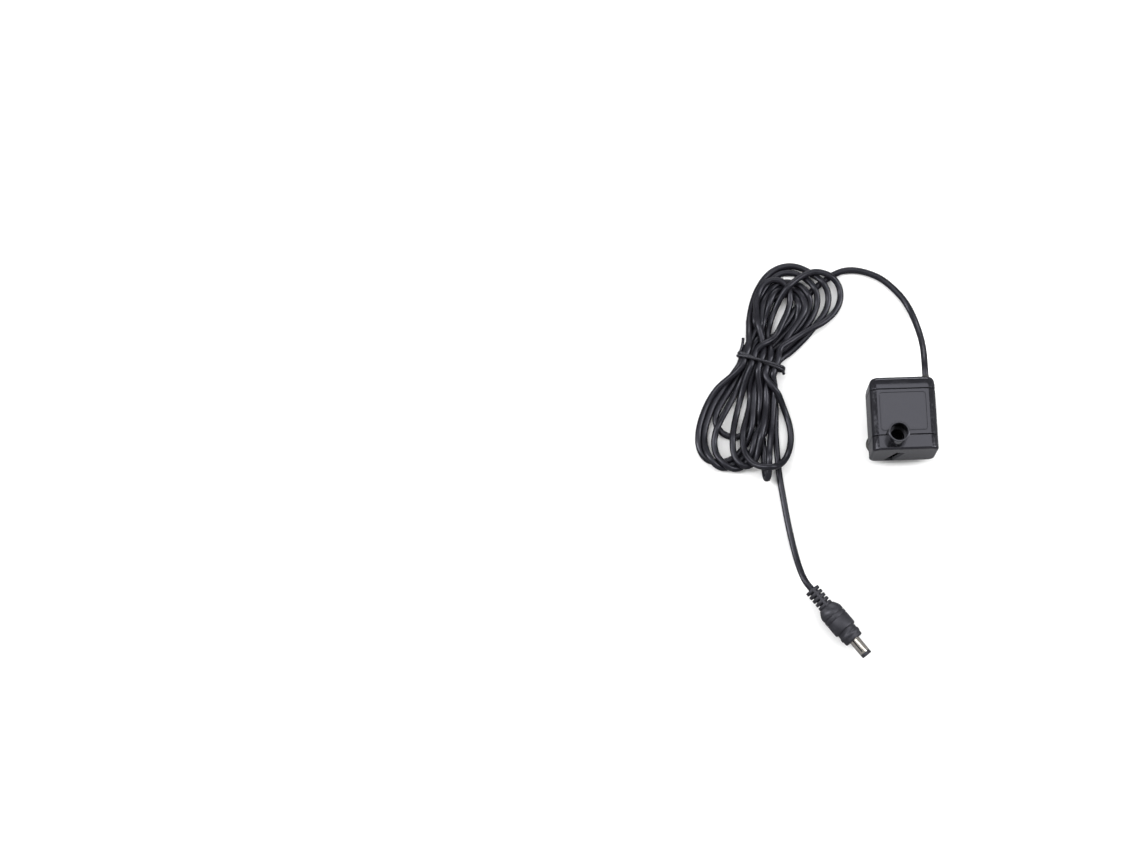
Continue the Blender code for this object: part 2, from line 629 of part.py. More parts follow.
def build_intake_plate():
    rim = CHAMBER_RADIUS - GAP
    holder_radius = SHAFT_RADIUS + HOLDER_WALL
    seat_radius = holder_radius + GAP
    hub_radius = seat_radius + HOLDER_WALL
    plate = ring_y("intake_plate", EYE_RADIUS, rim, PLATE_FRONT, PLATE_BACK, "white_plastic")
    for index in range(SPOKE_COUNT):
        turn = math.tau * index / SPOKE_COUNT
        reach = (hub_radius + EYE_RADIUS + OVERLAP) / 2
        half = (EYE_RADIUS + OVERLAP - seat_radius) / 2
        middle = (PLATE_FRONT + PLATE_BACK) / 2
        low = (-half, -PLATE_THICKNESS / 2 + OVERLAP / 2, -SPOKE_WIDTH / 2)
        high = (half, PLATE_THICKNESS / 2 - OVERLAP / 2, SPOKE_WIDTH / 2)
        spoke = box(f"plate_spoke_{index + 1}", low, high, None, (0, -turn, 0))
        spoke.location = ((reach - OVERLAP) * math.cos(turn), middle, AXIS_Z + (reach - OVERLAP) * math.sin(turn))
        boolean(plate, spoke, "UNION")
    hub = rod_y("plate_hub", 0, AXIS_Z, hub_radius, PLATE_FRONT + OVERLAP, HOLDER_FACE, None)
    seat = rod_y("plate_seat", 0, AXIS_Z, seat_radius, HOLDER_FACE - HOLDER_LENGTH - GAP,
                 HOLDER_FACE + OVERLAP, None)
    boolean(plate, hub, "UNION")
    boolean(plate, seat)


def build_shaft_and_holders():
    holder_radius = SHAFT_RADIUS + HOLDER_WALL
    hole_radius = SHAFT_RADIUS + RUNNING
    front = [(0, HOLDER_FACE - HOLDER_DEPTH), (hole_radius, HOLDER_FACE - HOLDER_DEPTH),
             (hole_radius, HOLDER_FACE), (holder_radius, HOLDER_FACE),
             (holder_radius, HOLDER_FACE - HOLDER_LENGTH), (0, HOLDER_FACE - HOLDER_LENGTH)]
    along_y(turned("front_shaft_holder", front, "rubber", FINE_STEPS), 0, AXIS_Z)
    rear_radius = WELL_RADIUS - GAP
    rear = [(0, REAR_HOLDER_BACK), (rear_radius, REAR_HOLDER_BACK), (rear_radius, REAR_HOLDER_FACE),
            (hole_radius, REAR_HOLDER_FACE), (hole_radius, REAR_HOLDER_FACE + HOLDER_DEPTH),
            (0, REAR_HOLDER_FACE + HOLDER_DEPTH)]
    along_y(turned("rear_shaft_holder", rear, "rubber", FINE_STEPS), 0, AXIS_Z)
    rod_y("rotor_shaft", 0, AXIS_Z, SHAFT_RADIUS, HOLDER_FACE - HOLDER_DEPTH + GAP,
          REAR_HOLDER_FACE + HOLDER_DEPTH - GAP, "steel")
    ring_y("front_thrust_washer", hole_radius, WASHER_RADIUS, HOLDER_FACE + GAP,
           HOLDER_FACE + GAP + WASHER_THICKNESS, "steel", FINE_STEPS)
    ring_y("rear_thrust_washer", hole_radius, WASHER_RADIUS, REAR_HOLDER_FACE - GAP - WASHER_THICKNESS,
           REAR_HOLDER_FACE - GAP, "steel", FINE_STEPS)


def build_impeller():
    hole_radius = SHAFT_RADIUS + RUNNING
    disc_front = DISC_BACK - IMPELLER_DISC_THICKNESS
    vane_front = disc_front - VANE_HEIGHT
    profile = [(hole_radius, SLEEVE_BACK), (SLEEVE_RADIUS, SLEEVE_BACK), (SLEEVE_RADIUS, DISC_BACK),
               (IMPELLER_RADIUS, DISC_BACK), (IMPELLER_RADIUS, disc_front), (SLEEVE_RADIUS, disc_front),
               (SLEEVE_RADIUS, SLEEVE_FRONT), (hole_radius, SLEEVE_FRONT)]
    impeller = along_y(turned("impeller", profile, "white_plastic"), 0, AXIS_Z)
    inner = SLEEVE_RADIUS - OVERLAP
    reach = (inner + IMPELLER_RADIUS - OVERLAP) / 2
    half = (IMPELLER_RADIUS - OVERLAP - inner) / 2
    half_height = (VANE_HEIGHT + OVERLAP) / 2
    for index in range(VANE_COUNT):
        turn = math.tau * (index + 0.5) / VANE_COUNT
        vane = box(f"vane_{index + 1}", (-half, -half_height, -VANE_THICKNESS / 2),
                   (half, half_height, VANE_THICKNESS / 2), None, (0, -turn, 0))
        vane.location = (reach * math.cos(turn), vane_front + half_height, AXIS_Z + reach * math.sin(turn))
        boolean(impeller, vane, "UNION")
    ring_y("rotor_magnet", SLEEVE_RADIUS + GAP, MAGNET_RADIUS, SLEEVE_BACK - MAGNET_LENGTH, SLEEVE_BACK,
           "ferrite")


def build_seal():
    ring_y("chamber_seal", CHAMBER_RADIUS, CHAMBER_RADIUS + CHAMBER_WALL, SEAL_FRONT,
           SEAL_FRONT + SEAL_THICKNESS, "rubber")


def build_stator():
    half = STATOR_WIDTH / 2
    inner = half - YOKE_WALL
    core = box("stator_core", (-half, STATOR_FRONT, AXIS_Z - half), (half, STATOR_BACK, AXIS_Z + half), "ferrite")
    for index in range(4):
        quarter = index * math.pi / 2 + math.pi / 4
        middle = (POLE_WIDTH / 2 + inner) / 2
        side = (inner - POLE_WIDTH / 2) / 2
        x = math.copysign(middle, math.cos(quarter))
        z = AXIS_Z + math.copysign(middle, math.sin(quarter))
        pocket = box(f"winding_pocket_{index + 1}", (x - side, STATOR_FRONT - OVERLAP, z - side),
                     (x + side, STATOR_BACK + OVERLAP, z + side), None)
        shoes = rod_y(f"pole_shoes_{index + 1}", 0, AXIS_Z, STATOR_BORE + SHOE_THICKNESS,
                      STATOR_FRONT - 2 * OVERLAP, STATOR_BACK + 2 * OVERLAP, None, STEPS)
        boolean(pocket, shoes)
        boolean(core, pocket)
    bore = rod_y("stator_bore", 0, AXIS_Z, STATOR_BORE, STATOR_FRONT - OVERLAP, STATOR_BACK + OVERLAP, None,
                 STEPS)
    boolean(core, bore)
    slit_reach = STATOR_BORE + SHOE_THICKNESS + 2 * OVERLAP
    for index in range(2):
        slit = box(f"shoe_slit_{index + 1}", (-slit_reach, STATOR_FRONT - OVERLAP, AXIS_Z - SHOE_SLIT / 2),
                   (slit_reach, STATOR_BACK + OVERLAP, AXIS_Z + SHOE_SLIT / 2), None,
                   (0, math.pi / 4 + index * math.pi / 2, 0))
        boolean(core, slit)


def build_coils():
    """One winding round each of the four poles."""
    inner_half = POLE_WIDTH / 2 + GAP
    outer_half = inner_half + COIL_THICKNESS
    low = STATOR_BORE + SHOE_THICKNESS + GAP
    high = STATOR_WIDTH / 2 - YOKE_WALL - GAP
    depth = (low + high) / 2
    half_depth = (high - low) / 2
    middle = (STATOR_FRONT + STATOR_BACK) / 2
    half_length = STATOR_LENGTH / 2 + GAP
    for index in range(4):
        turn = index * math.pi / 2
        place = (depth * math.cos(turn), middle, AXIS_Z + depth * math.sin(turn))
        outer = Vector((half_depth, half_length + COIL_THICKNESS, outer_half))
        inner = Vector((half_depth + OVERLAP, half_length, inner_half))
        bm = bmesh.new()
        bmesh.ops.create_cube(bm, size=2.0)
        bmesh.ops.scale(bm, vec=outer, verts=bm.verts)
        corners = [e for e in bm.edges if abs(e.verts[0].co.x - e.verts[1].co.x) > half_depth]
        edge_radius = min(COIL_EDGE_RADIUS, 0.9 * COIL_THICKNESS)
        bmesh.ops.bevel(bm, geom=corners, offset=edge_radius, segments=3, profile=0.5, affect="EDGES")
        coil = mesh_object(f"coil_{index + 1}", bm, "copper", smooth=True)
        window = box(f"coil_window_{index + 1}", -inner, inner, None)
        for piece in (coil, window):
            piece.location = place
            piece.rotation_euler = (0, -turn, 0)
        boolean(coil, window)


def build_board():
    half = BOARD_WIDTH / 2
    box("driver_board", (-half, BOARD_FRONT, AXIS_Z - BOARD_HEIGHT / 2),
        (half, BOARD_BACK, AXIS_Z + BOARD_HEIGHT / 2), "board_green")
    chip_low, chip_high = chip_corners()
    box("driver_chip", chip_low, chip_high, "matt_black")
    turn = math.pi / 4
    hall = box("hall_sensor", [-s / 2 for s in HALL_SIZE], [s / 2 for s in HALL_SIZE], "matt_black", (0, turn, 0))
    hall.location = (HALL_RADIUS * math.sin(turn), BOARD_FRONT - GAP - HALL_SIZE[1] / 2,
                     AXIS_Z + HALL_RADIUS * math.cos(turn))
    capacitor_rod("capacitor", 0, "steel")


def chip_corners(margin=0):
    x, z = CHIP_PLACE
    low = (x - CHIP_SIZE[0] / 2 - margin, BOARD_BACK + GAP, AXIS_Z + z - CHIP_SIZE[2] / 2 - margin)
    high = (x + CHIP_SIZE[0] / 2 + margin, BOARD_BACK + GAP + CHIP_SIZE[1], AXIS_Z + z + CHIP_SIZE[2] / 2 + margin)
    return low, high


def capacitor_rod(name, margin, finish):
    """The capacitor lies along X on the board."""
    x, z = CAPACITOR_PLACE
    half = CAPACITOR_LENGTH / 2 + margin
    radius = CAPACITOR_RADIUS + margin
    piece = turned(name, [(0, half), (radius, half), (radius, -half), (0, -half)], finish, FINE_STEPS)
    piece.rotation_euler = (0, math.pi / 2, 0)
    piece.location = (x, BOARD_BACK + GAP + CAPACITOR_RADIUS, AXIS_Z + z)
    return piece


def build_resin_and_leads():
    half = BOARD_WIDTH / 2
    low_y = BOARD_BACK + GAP
    high_y = low_y + RESIN_THICKNESS
    resin = box("potting_resin", (-half, low_y, AXIS_Z - BOARD_HEIGHT / 2),
                (half, high_y, AXIS_Z + BOARD_HEIGHT / 2), "resin")
    chip_low, chip_high = chip_corners(GAP)
    chip_space = box("chip_space", (chip_low[0], low_y - OVERLAP, chip_low[2]),
                     (chip_high[0], high_y + OVERLAP, chip_high[2]), None)
    boolean(resin, chip_space)
    boolean(resin, capacitor_rod("capacitor_space", GAP, None))
    gland_face = CAP_END - WALL - GLAND_INSIDE - GAP
    for name, finish, side in (("lead_positive", "red_wire", 1), ("lead_negative", "matt_black", -1)):
        pad_z = AXIS_Z + side * LEAD_SPACING
        end_z = GLAND_Z + side * LEAD_SPACING / 2
        straight = high_y + LEAD_RADIUS
        route = ((LEAD_PAD_X, low_y, pad_z), (LEAD_PAD_X, straight, pad_z),
                 (GLAND_X, gland_face - LEAD_RADIUS, end_z), (GLAND_X, gland_face, end_z))
        tube(name, smooth_points(route, LEAD_RADIUS * 2), LEAD_RADIUS, finish)
        hole = rod_y(f"{name}_hole", LEAD_PAD_X, pad_z, LEAD_HOLE_RADIUS, low_y - OVERLAP, high_y + OVERLAP,
                     None, 16)
        boolean(resin, hole)


def cup_places():
    front_y = COVER_SEAM + CUP_FROM_SEAM
    return ((-CUP_PAIR_X, front_y), (CUP_PAIR_X, front_y), (0, CUP_REAR_Y))


def build_cups():
    """Each cup is a thin bell: stem in the body's back, rim on the floor, hollow under the dome."""
    shoulder = BODY_FLOOR - GAP
    stem_top = BODY_FLOOR + CUP_SEAT_DEPTH
    neck = CUP_STEM_RADIUS + CUP_NECK_WALL
    profile = [(0, stem_top), (CUP_STEM_RADIUS, stem_top), (CUP_STEM_RADIUS, shoulder), (neck, shoulder),
               (neck, shoulder - CUP_NECK_HEIGHT), (CUP_BELL_RADIUS, CUP_BELL_HEIGHT),
               (CUP_RADIUS, CUP_RIM_HEIGHT), (CUP_RADIUS, 0), (CUP_RADIUS - CUP_RIM_WIDTH, 0),
               (CUP_HOLLOW_RADIUS, CUP_HOLLOW_SHOULDER), (0, CUP_HOLLOW_HEIGHT)]
    for index, (x, y) in enumerate(cup_places(), 1):
        cup = turned(f"suction_cup_{index}", profile, "rubber", FINE_STEPS)
        cup.location = (x, y, 0)


def build_cord():
    tube("cord_lead", smooth_points(LEAD_ROUTE, CORD_STEP), CORD_RADIUS, "matt_black")
    tube("cord_tail", smooth_points(TAIL_ROUTE, CORD_STEP), CORD_RADIUS, "matt_black")


def build_hank():
    hank = flat_outline("cord_hank", HANK_OUTLINE, HANK_HEIGHT, "matt_black")
    hank.location = (0, 0, HANK_FLOOR_GAP + HANK_HEIGHT / 2)
    bpy.context.view_layer.update()
    hank = as_mesh(hank, "matt_black")
    tie_turn = (0, 0, TIE_ANGLE)
    reach = TIE_REACH + 2 * TIE_RADIUS
    under = 2 * (TIE_RADIUS + GAP)
    notch = box("tie_notch", (-reach, -2 * TIE_RADIUS, -OVERLAP), (reach, 2 * TIE_RADIUS, under), None, tie_turn)
    notch.location = (*TIE_CENTRE, (under - OVERLAP) / 2)
    boolean(hank, notch)
    low = TIE_RADIUS
    high = HANK_FLOOR_GAP + HANK_HEIGHT + GAP + TIE_RADIUS
    corner = TIE_CORNER_RADIUS
    turn = Matrix.Rotation(TIE_ANGLE, 4, "Z")
    middle = Vector((*TIE_CENTRE, 0))
    loop = []
    for x_sign, z_end, start in ((1, high, 0), (-1, high, 90), (-1, low, 180), (1, low, 270)):
        centre_z = z_end - math.copysign(corner, z_end - TIE_RADIUS - corner)
        for step in range(4):
            angle = math.radians(start + 30 * step)
            point = Vector((x_sign * (TIE_REACH - corner) + corner * math.cos(angle), 0,
                            centre_z + corner * math.sin(angle)))
            loop.append(turn @ point + middle)
    tube("cord_tie", loop, TIE_RADIUS, "matt_black", cyclic=True)


def plug_axis(piece):
    """Lays a turned piece's axis along the plug, its heights counted from the plug's rear end."""
    rear = Vector(PLUG_REAR)
    direction = (Vector(PLUG_TIP) - rear).normalized()
    piece.matrix_world = Matrix.Translation(rear) @ direction.to_track_quat("Z", "Y").to_matrix().to_4x4()
    return piece


def build_plug():
    length = (Vector(PLUG_TIP) - Vector(PLUG_REAR)).length
    cone_end = STRAIN_RELIEF_LENGTH + PLUG_CONE_LENGTH
    body_end = cone_end + PLUG_BODY_LENGTH
    collar_end = body_end + COLLAR_LENGTH
    socket_floor = collar_end - PLUG_SOCKET_DEPTH
    socket_radius = BARREL_RADIUS + GAP
    rise = [(0, 0), (STRAIN_RELIEF_CORE, 0)]
    for index in range(RIB_COUNT):
        start = index * RIB_PITCH + OVERLAP
        rise += [(STRAIN_RELIEF_CORE, start), (RIB_RADIUS, start), (RIB_RADIUS, start + RIB_THICKNESS),
                 (STRAIN_RELIEF_CORE, start + RIB_THICKNESS)]
    rise += [(STRAIN_RELIEF_CORE, STRAIN_RELIEF_LENGTH), (RIB_RADIUS + COLLAR_CHAMFER, STRAIN_RELIEF_LENGTH),
             (PLUG_BODY_RADIUS, cone_end)]
    groove_floor = PLUG_BODY_RADIUS - PLUG_GROOVE_DEPTH
    for place in PLUG_GROOVES:
        start = cone_end + place
        rise += [(PLUG_BODY_RADIUS, start), (groove_floor, start), (groove_floor, start + PLUG_GROOVE_WIDTH),
                 (PLUG_BODY_RADIUS, start + PLUG_GROOVE_WIDTH)]
    ridge_start = body_end + (COLLAR_LENGTH - COLLAR_RIDGE_LENGTH) / 2
    ridge_end = ridge_start + COLLAR_RIDGE_LENGTH
    rise += [(PLUG_BODY_RADIUS, body_end - PLUG_BODY_CHAMFER),
             (PLUG_BODY_RADIUS - PLUG_BODY_CHAMFER, body_end), (COLLAR_RADIUS, body_end),
             (COLLAR_RADIUS, ridge_start - COLLAR_CHAMFER), (COLLAR_RIDGE_RADIUS, ridge_start),
             (COLLAR_RIDGE_RADIUS, ridge_end), (COLLAR_RADIUS, ridge_end + COLLAR_CHAMFER),
             (COLLAR_RADIUS, collar_end - COLLAR_CHAMFER), (COLLAR_RADIUS - COLLAR_CHAMFER, collar_end),
             (socket_radius, collar_end), (socket_radius, socket_floor), (0, socket_floor)]
    overmould = plug_axis(turned("plug_overmould", rise[::-1], "matt_black", FINE_STEPS))
    spine_end = STRAIN_RELIEF_LENGTH + OVERLAP
    spine = box("plug_spine", (-SPINE_WIDTH / 2, -RIB_RADIUS, -spine_end / 2 + OVERLAP),
                (SPINE_WIDTH / 2, RIB_RADIUS, spine_end / 2), None)
    plug_axis(spine)
    spine.matrix_world = spine.matrix_world @ Matrix.Translation((0, 0, spine_end / 2 + OVERLAP / 2))
    boolean(overmould, spine, "UNION")

    barrel_start = socket_floor + GAP
    barrel_end = length - TIP_LENGTH - GAP
    barrel_inner = BARREL_RADIUS - BARREL_WALL
    plug_axis(turned("plug_barrel", [(BARREL_RADIUS, barrel_end), (BARREL_RADIUS, barrel_start),
                                     (barrel_inner, barrel_start), (barrel_inner, barrel_end)],
                     "nickel", FINE_STEPS))
    insulator_inner = INSULATOR_RADIUS - INSULATOR_WALL
    tip_start = length - TIP_LENGTH
    plug_axis(turned("plug_insulator", [(BARREL_RADIUS, length), (BARREL_RADIUS, tip_start),
                                        (INSULATOR_RADIUS, tip_start), (INSULATOR_RADIUS, barrel_start),
                                        (insulator_inner, barrel_start), (insulator_inner, tip_start),
                                        (CONTACT_BORE_RADIUS, tip_start), (CONTACT_BORE_RADIUS, length)],
                     "matt_black", FINE_STEPS))
    contact_outer = CONTACT_BORE_RADIUS + CONTACT_WALL
    contact_end = tip_start - GAP
    plug_axis(turned("plug_contact", [(contact_outer, contact_end), (contact_outer, barrel_start),
                                      (CONTACT_BORE_RADIUS, barrel_start), (CONTACT_BORE_RADIUS, contact_end)],
                     "nickel", FINE_STEPS))


clear_scene()
parts = make_collection("fountain_pump")
cutters = make_collection("cutters")
build_housing()
build_cap()
build_gland()
build_cover()
build_intake_plate()
build_seal()
build_shaft_and_holders()
build_impeller()
build_stator()
build_coils()
build_board()
build_resin_and_leads()
build_cups()
build_cord()
build_hank()
build_plug()
bpy.context.view_layer.update()
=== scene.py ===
import math

import bmesh
import bpy
import numpy as np
from mathutils import Matrix, Vector


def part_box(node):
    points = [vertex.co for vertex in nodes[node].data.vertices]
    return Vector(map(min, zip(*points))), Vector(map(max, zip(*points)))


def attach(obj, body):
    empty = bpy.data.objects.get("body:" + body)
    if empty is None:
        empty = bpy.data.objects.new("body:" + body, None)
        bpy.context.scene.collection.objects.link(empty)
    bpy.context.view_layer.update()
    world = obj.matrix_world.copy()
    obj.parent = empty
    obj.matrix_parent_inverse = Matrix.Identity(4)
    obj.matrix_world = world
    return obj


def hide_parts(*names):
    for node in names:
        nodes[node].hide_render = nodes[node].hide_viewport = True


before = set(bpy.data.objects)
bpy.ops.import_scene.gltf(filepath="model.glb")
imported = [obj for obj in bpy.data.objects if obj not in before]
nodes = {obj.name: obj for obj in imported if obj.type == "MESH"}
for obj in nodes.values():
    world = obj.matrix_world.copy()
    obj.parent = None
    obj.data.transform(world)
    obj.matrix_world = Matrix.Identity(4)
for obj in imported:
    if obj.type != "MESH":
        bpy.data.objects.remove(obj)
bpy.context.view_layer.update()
mm = 0.001
print("frame loaded,", len(nodes), "nodes")


# the camera

cameraValues = {
    "place": (-0.16923, -0.33105, 1.35001),
    "down": 76.03,          # degrees under the horizon
    "roll": 1.74,
    "lens": 85.01,
}


def makeCamera():
    down = math.radians(cameraValues["down"])
    roll = math.radians(cameraValues["roll"])
    forward = Vector((0, math.cos(down), -math.sin(down)))
    level = Vector((1, 0, 0))
    upright = Vector((0, math.sin(down), math.cos(down)))
    right = math.cos(roll) * level - math.sin(roll) * upright
    up = math.sin(roll) * level + math.cos(roll) * upright
    data = bpy.data.cameras.new("camera")
    data.lens = cameraValues["lens"]
    data.clip_start = 0.01
    data.clip_end = 20
    camera = bpy.data.objects.new("camera", data)
    bpy.context.scene.collection.objects.link(camera)
    turn = Matrix((right, up, -forward)).transposed().to_4x4()
    camera.matrix_world = Matrix.Translation(cameraValues["place"]) @ turn
    bpy.context.scene.camera = camera


makeCamera()


# surface effects that several materials share

def addNode(tree, kind, **values):
    node = tree.nodes.new(kind)
    for key, value in values.items():
        setattr(node, key, value)
    return node


def newGroup(name, inputs, outputs):
    group = bpy.data.node_groups.new(name, "ShaderNodeTree")
    for label, start in inputs:
        socket = group.interface.new_socket(label, in_out="INPUT", socket_type="NodeSocketFloat")
        socket.default_value = start
    for label in outputs:
        group.interface.new_socket(label, in_out="OUTPUT", socket_type="NodeSocketFloat")
    return group, group.nodes.new("NodeGroupInput"), group.nodes.new("NodeGroupOutput")


def makeMarksGroup():
    # soft smudges and small rubbed spots: a mask for colour and a roughness
    group, inside, outside = newGroup("handlingMarks", (("Size", 90), ("Smooth", 0.2), ("Worn", 0.4)),
                                      ("Mask", "Roughness"))
    place = addNode(group, "ShaderNodeTexCoord")
    wide = addNode(group, "ShaderNodeTexNoise")
    wide.inputs["Detail"].default_value = 4
    wide.inputs["Roughness"].default_value = 0.6
    finer = addNode(group, "ShaderNodeMath", operation="MULTIPLY")
    finer.inputs[1].default_value = 7.0
    spots = addNode(group, "ShaderNodeTexNoise")
    spots.inputs["Detail"].default_value = 2
    both = addNode(group, "ShaderNodeMath", operation="MULTIPLY")
    ramp = addNode(group, "ShaderNodeMapRange", interpolation_type="SMOOTHSTEP")
    ramp.inputs["From Min"].default_value = 0.18
    ramp.inputs["From Max"].default_value = 0.36
    rough = addNode(group, "ShaderNodeMapRange")
    link = group.links.new
    link(place.outputs["Object"], wide.inputs["Vector"])
    link(place.outputs["Object"], spots.inputs["Vector"])
    link(inside.outputs["Size"], wide.inputs["Scale"])
    link(inside.outputs["Size"], finer.inputs[0])
    link(finer.outputs[0], spots.inputs["Scale"])
    link(wide.outputs["Fac"], both.inputs[0])
    link(spots.outputs["Fac"], both.inputs[1])
    link(both.outputs[0], ramp.inputs["Value"])
    link(ramp.outputs["Result"], rough.inputs["Value"])
    link(inside.outputs["Smooth"], rough.inputs["To Min"])
    link(inside.outputs["Worn"], rough.inputs["To Max"])
    link(ramp.outputs["Result"], outside.inputs["Mask"])
    link(rough.outputs["Result"], outside.inputs["Roughness"])
    return group


def makeGrainGroup():
    # the fine grain of a moulded or cast face, with a slower waviness under it
    group, inside, outside = newGroup("mouldGrain", (("Grain", 3000), ("Wave", 120), ("Waviness", 0.5)),
                                      ("Height",))
    place = addNode(group, "ShaderNodeTexCoord")
    fine = addNode(group, "ShaderNodeTexNoise")
    fine.inputs["Detail"].default_value = 3
    slow = addNode(group, "ShaderNodeTexNoise")
    slow.inputs["Detail"].default_value = 1
    weighed = addNode(group, "ShaderNodeMath", operation="MULTIPLY")
    total = addNode(group, "ShaderNodeMath", operation="ADD")
    link = group.links.new
    link(place.outputs["Object"], fine.inputs["Vector"])
    link(place.outputs["Object"], slow.inputs["Vector"])
    link(inside.outputs["Grain"], fine.inputs["Scale"])
    link(inside.outputs["Wave"], slow.inputs["Scale"])
    link(slow.outputs["Fac"], weighed.inputs[0])
    link(inside.outputs["Waviness"], weighed.inputs[1])
    link(weighed.outputs[0], total.inputs[0])
    link(fine.outputs["Fac"], total.inputs[1])
    link(total.outputs[0], outside.inputs["Height"])
    return group


marksGroup = makeMarksGroup()
grainGroup = makeGrainGroup()


# finishes: dark and light tint, smooth and worn roughness, then the sizes of the marks and the grain

finishes = {
    "glossBlack": {"dark": (0.006, 0.006, 0.0075), "light": (0.010, 0.010, 0.012), "smooth": 0.10,
                   "worn": 0.19, "marks": 110, "grain": 1400, "wave": 60, "waviness": 6.0, "bump": 0.0000006,
                   "reflectedLightTint": 0.88},
    "cordVinyl": {"dark": (0.006, 0.006, 0.008), "light": (0.011, 0.011, 0.014), "smooth": 0.28,
                  "worn": 0.40, "marks": 160, "grain": 3200, "wave": 260, "waviness": 2.0, "bump": 0.000008,
                  "reflectedLightTint": 0.88, "shine": 0.3},
    "plugVinyl": {"dark": (0.009, 0.009, 0.011), "light": (0.015, 0.015, 0.018), "smooth": 0.42,
                  "worn": 0.55, "marks": 190, "grain": 4500, "wave": 200, "waviness": 0.6, "bump": 0.00001,
                  "reflectedLightTint": 0.88},
    "softRubber": {"dark": (0.010, 0.010, 0.010), "light": (0.020, 0.019, 0.018), "smooth": 0.48,
                   "worn": 0.68, "marks": 240, "grain": 4200, "wave": 300, "waviness": 0.8, "bump": 0.00002},
    "tieWire": {"dark": (0.007, 0.007, 0.009), "light": (0.014, 0.014, 0.016), "smooth": 0.26,
                "worn": 0.40, "marks": 420, "grain": 4000, "wave": 900, "waviness": 1.5, "bump": 0.000008,
                "reflectedLightTint": 0.88},
    "groundSteel": {"dark": (0.44, 0.44, 0.45), "light": (0.62, 0.62, 0.63), "smooth": 0.18,
                    "worn": 0.34, "marks": 500, "grain": 5000, "wave": 800, "waviness": 0.6, "bump": 0.000002,
                    "metal": 1.0},
    "plugNickel": {"dark": (0.50, 0.47, 0.43), "light": (0.62, 0.59, 0.55), "smooth": 0.15,
                   "worn": 0.25, "marks": 260, "grain": 2400, "wave": 200, "waviness": 0.7, "bump": 0.0000008,
                   "metal": 1.0},
    "ferriteGrey": {"dark": (0.030, 0.030, 0.033), "light": (0.075, 0.072, 0.070), "smooth": 0.42,
                    "worn": 0.66, "marks": 420, "grain": 3800, "wave": 500, "waviness": 1.2, "bump": 0.00006,
                    "metal": 0.35},
    "boardGreen": {"dark": (0.010, 0.085, 0.036), "light": (0.022, 0.17, 0.072), "smooth": 0.26,
                   "worn": 0.44, "marks": 520, "grain": 4200, "wave": 900, "waviness": 1.0, "bump": 0.00003},
    "blackResin": {"dark": (0.018, 0.018, 0.018), "light": (0.036, 0.035, 0.033), "smooth": 0.14,
                   "worn": 0.34, "marks": 130, "grain": 900, "wave": 120, "waviness": 3.0, "bump": 0.00012},
    "redSleeve": {"dark": (0.34, 0.012, 0.010), "light": (0.52, 0.026, 0.020), "smooth": 0.34,
                  "worn": 0.50, "marks": 500, "grain": 5200, "wave": 700, "waviness": 0.8, "bump": 0.00003},
}


def makeFinish(name):
    values = finishes[name]
    material = bpy.data.materials.new(name)
    material.use_nodes = True
    tree = material.node_tree
    shader = tree.nodes["Principled BSDF"]
    shader.inputs["Metallic"].default_value = values.get("metal", 0.0)
    shader.inputs["Specular IOR Level"].default_value = values.get("shine", 0.5)
    # painted light: this specular tint turns the reflections blue, standing in for a cool cast of the light
    reflectedLightTint = values.get("reflectedLightTint", 1.0)
    shader.inputs["Specular Tint"].default_value = (reflectedLightTint, reflectedLightTint, 1, 1)
    marks = addNode(tree, "ShaderNodeGroup", node_tree=marksGroup)
    marks.inputs["Size"].default_value = values["marks"]
    marks.inputs["Smooth"].default_value = values["smooth"]
    marks.inputs["Worn"].default_value = values["worn"]
    tint = addNode(tree, "ShaderNodeMix", data_type="RGBA")
    tint.inputs[6].default_value = (*values["dark"], 1)
    tint.inputs[7].default_value = (*values["light"], 1)
    grain = addNode(tree, "ShaderNodeGroup", node_tree=grainGroup)
    grain.inputs["Grain"].default_value = values["grain"]
    grain.inputs["Wave"].default_value = values["wave"]
    grain.inputs["Waviness"].default_value = values["waviness"]
    bump = addNode(tree, "ShaderNodeBump")
    bump.inputs["Strength"].default_value = 1.0
    bump.inputs["Distance"].default_value = values["bump"]
    link = tree.links.new
    link(marks.outputs["Mask"], tint.inputs[0])
    link(tint.outputs[2], shader.inputs["Base Color"])
    link(marks.outputs["Roughness"], shader.inputs["Roughness"])
    link(grain.outputs["Height"], bump.inputs["Height"])
    link(bump.outputs["Normal"], shader.inputs["Normal"])
    return material


materials = {name: makeFinish(name) for name in finishes}

# the darker gap colour between the wires is painted shade in the grooves
windingValues = {"pitch": 0.45 * mm, "wire": (0.70, 0.27, 0.11), "gap": (0.22, 0.06, 0.02),
                 "rough": (0.24, 0.5)}


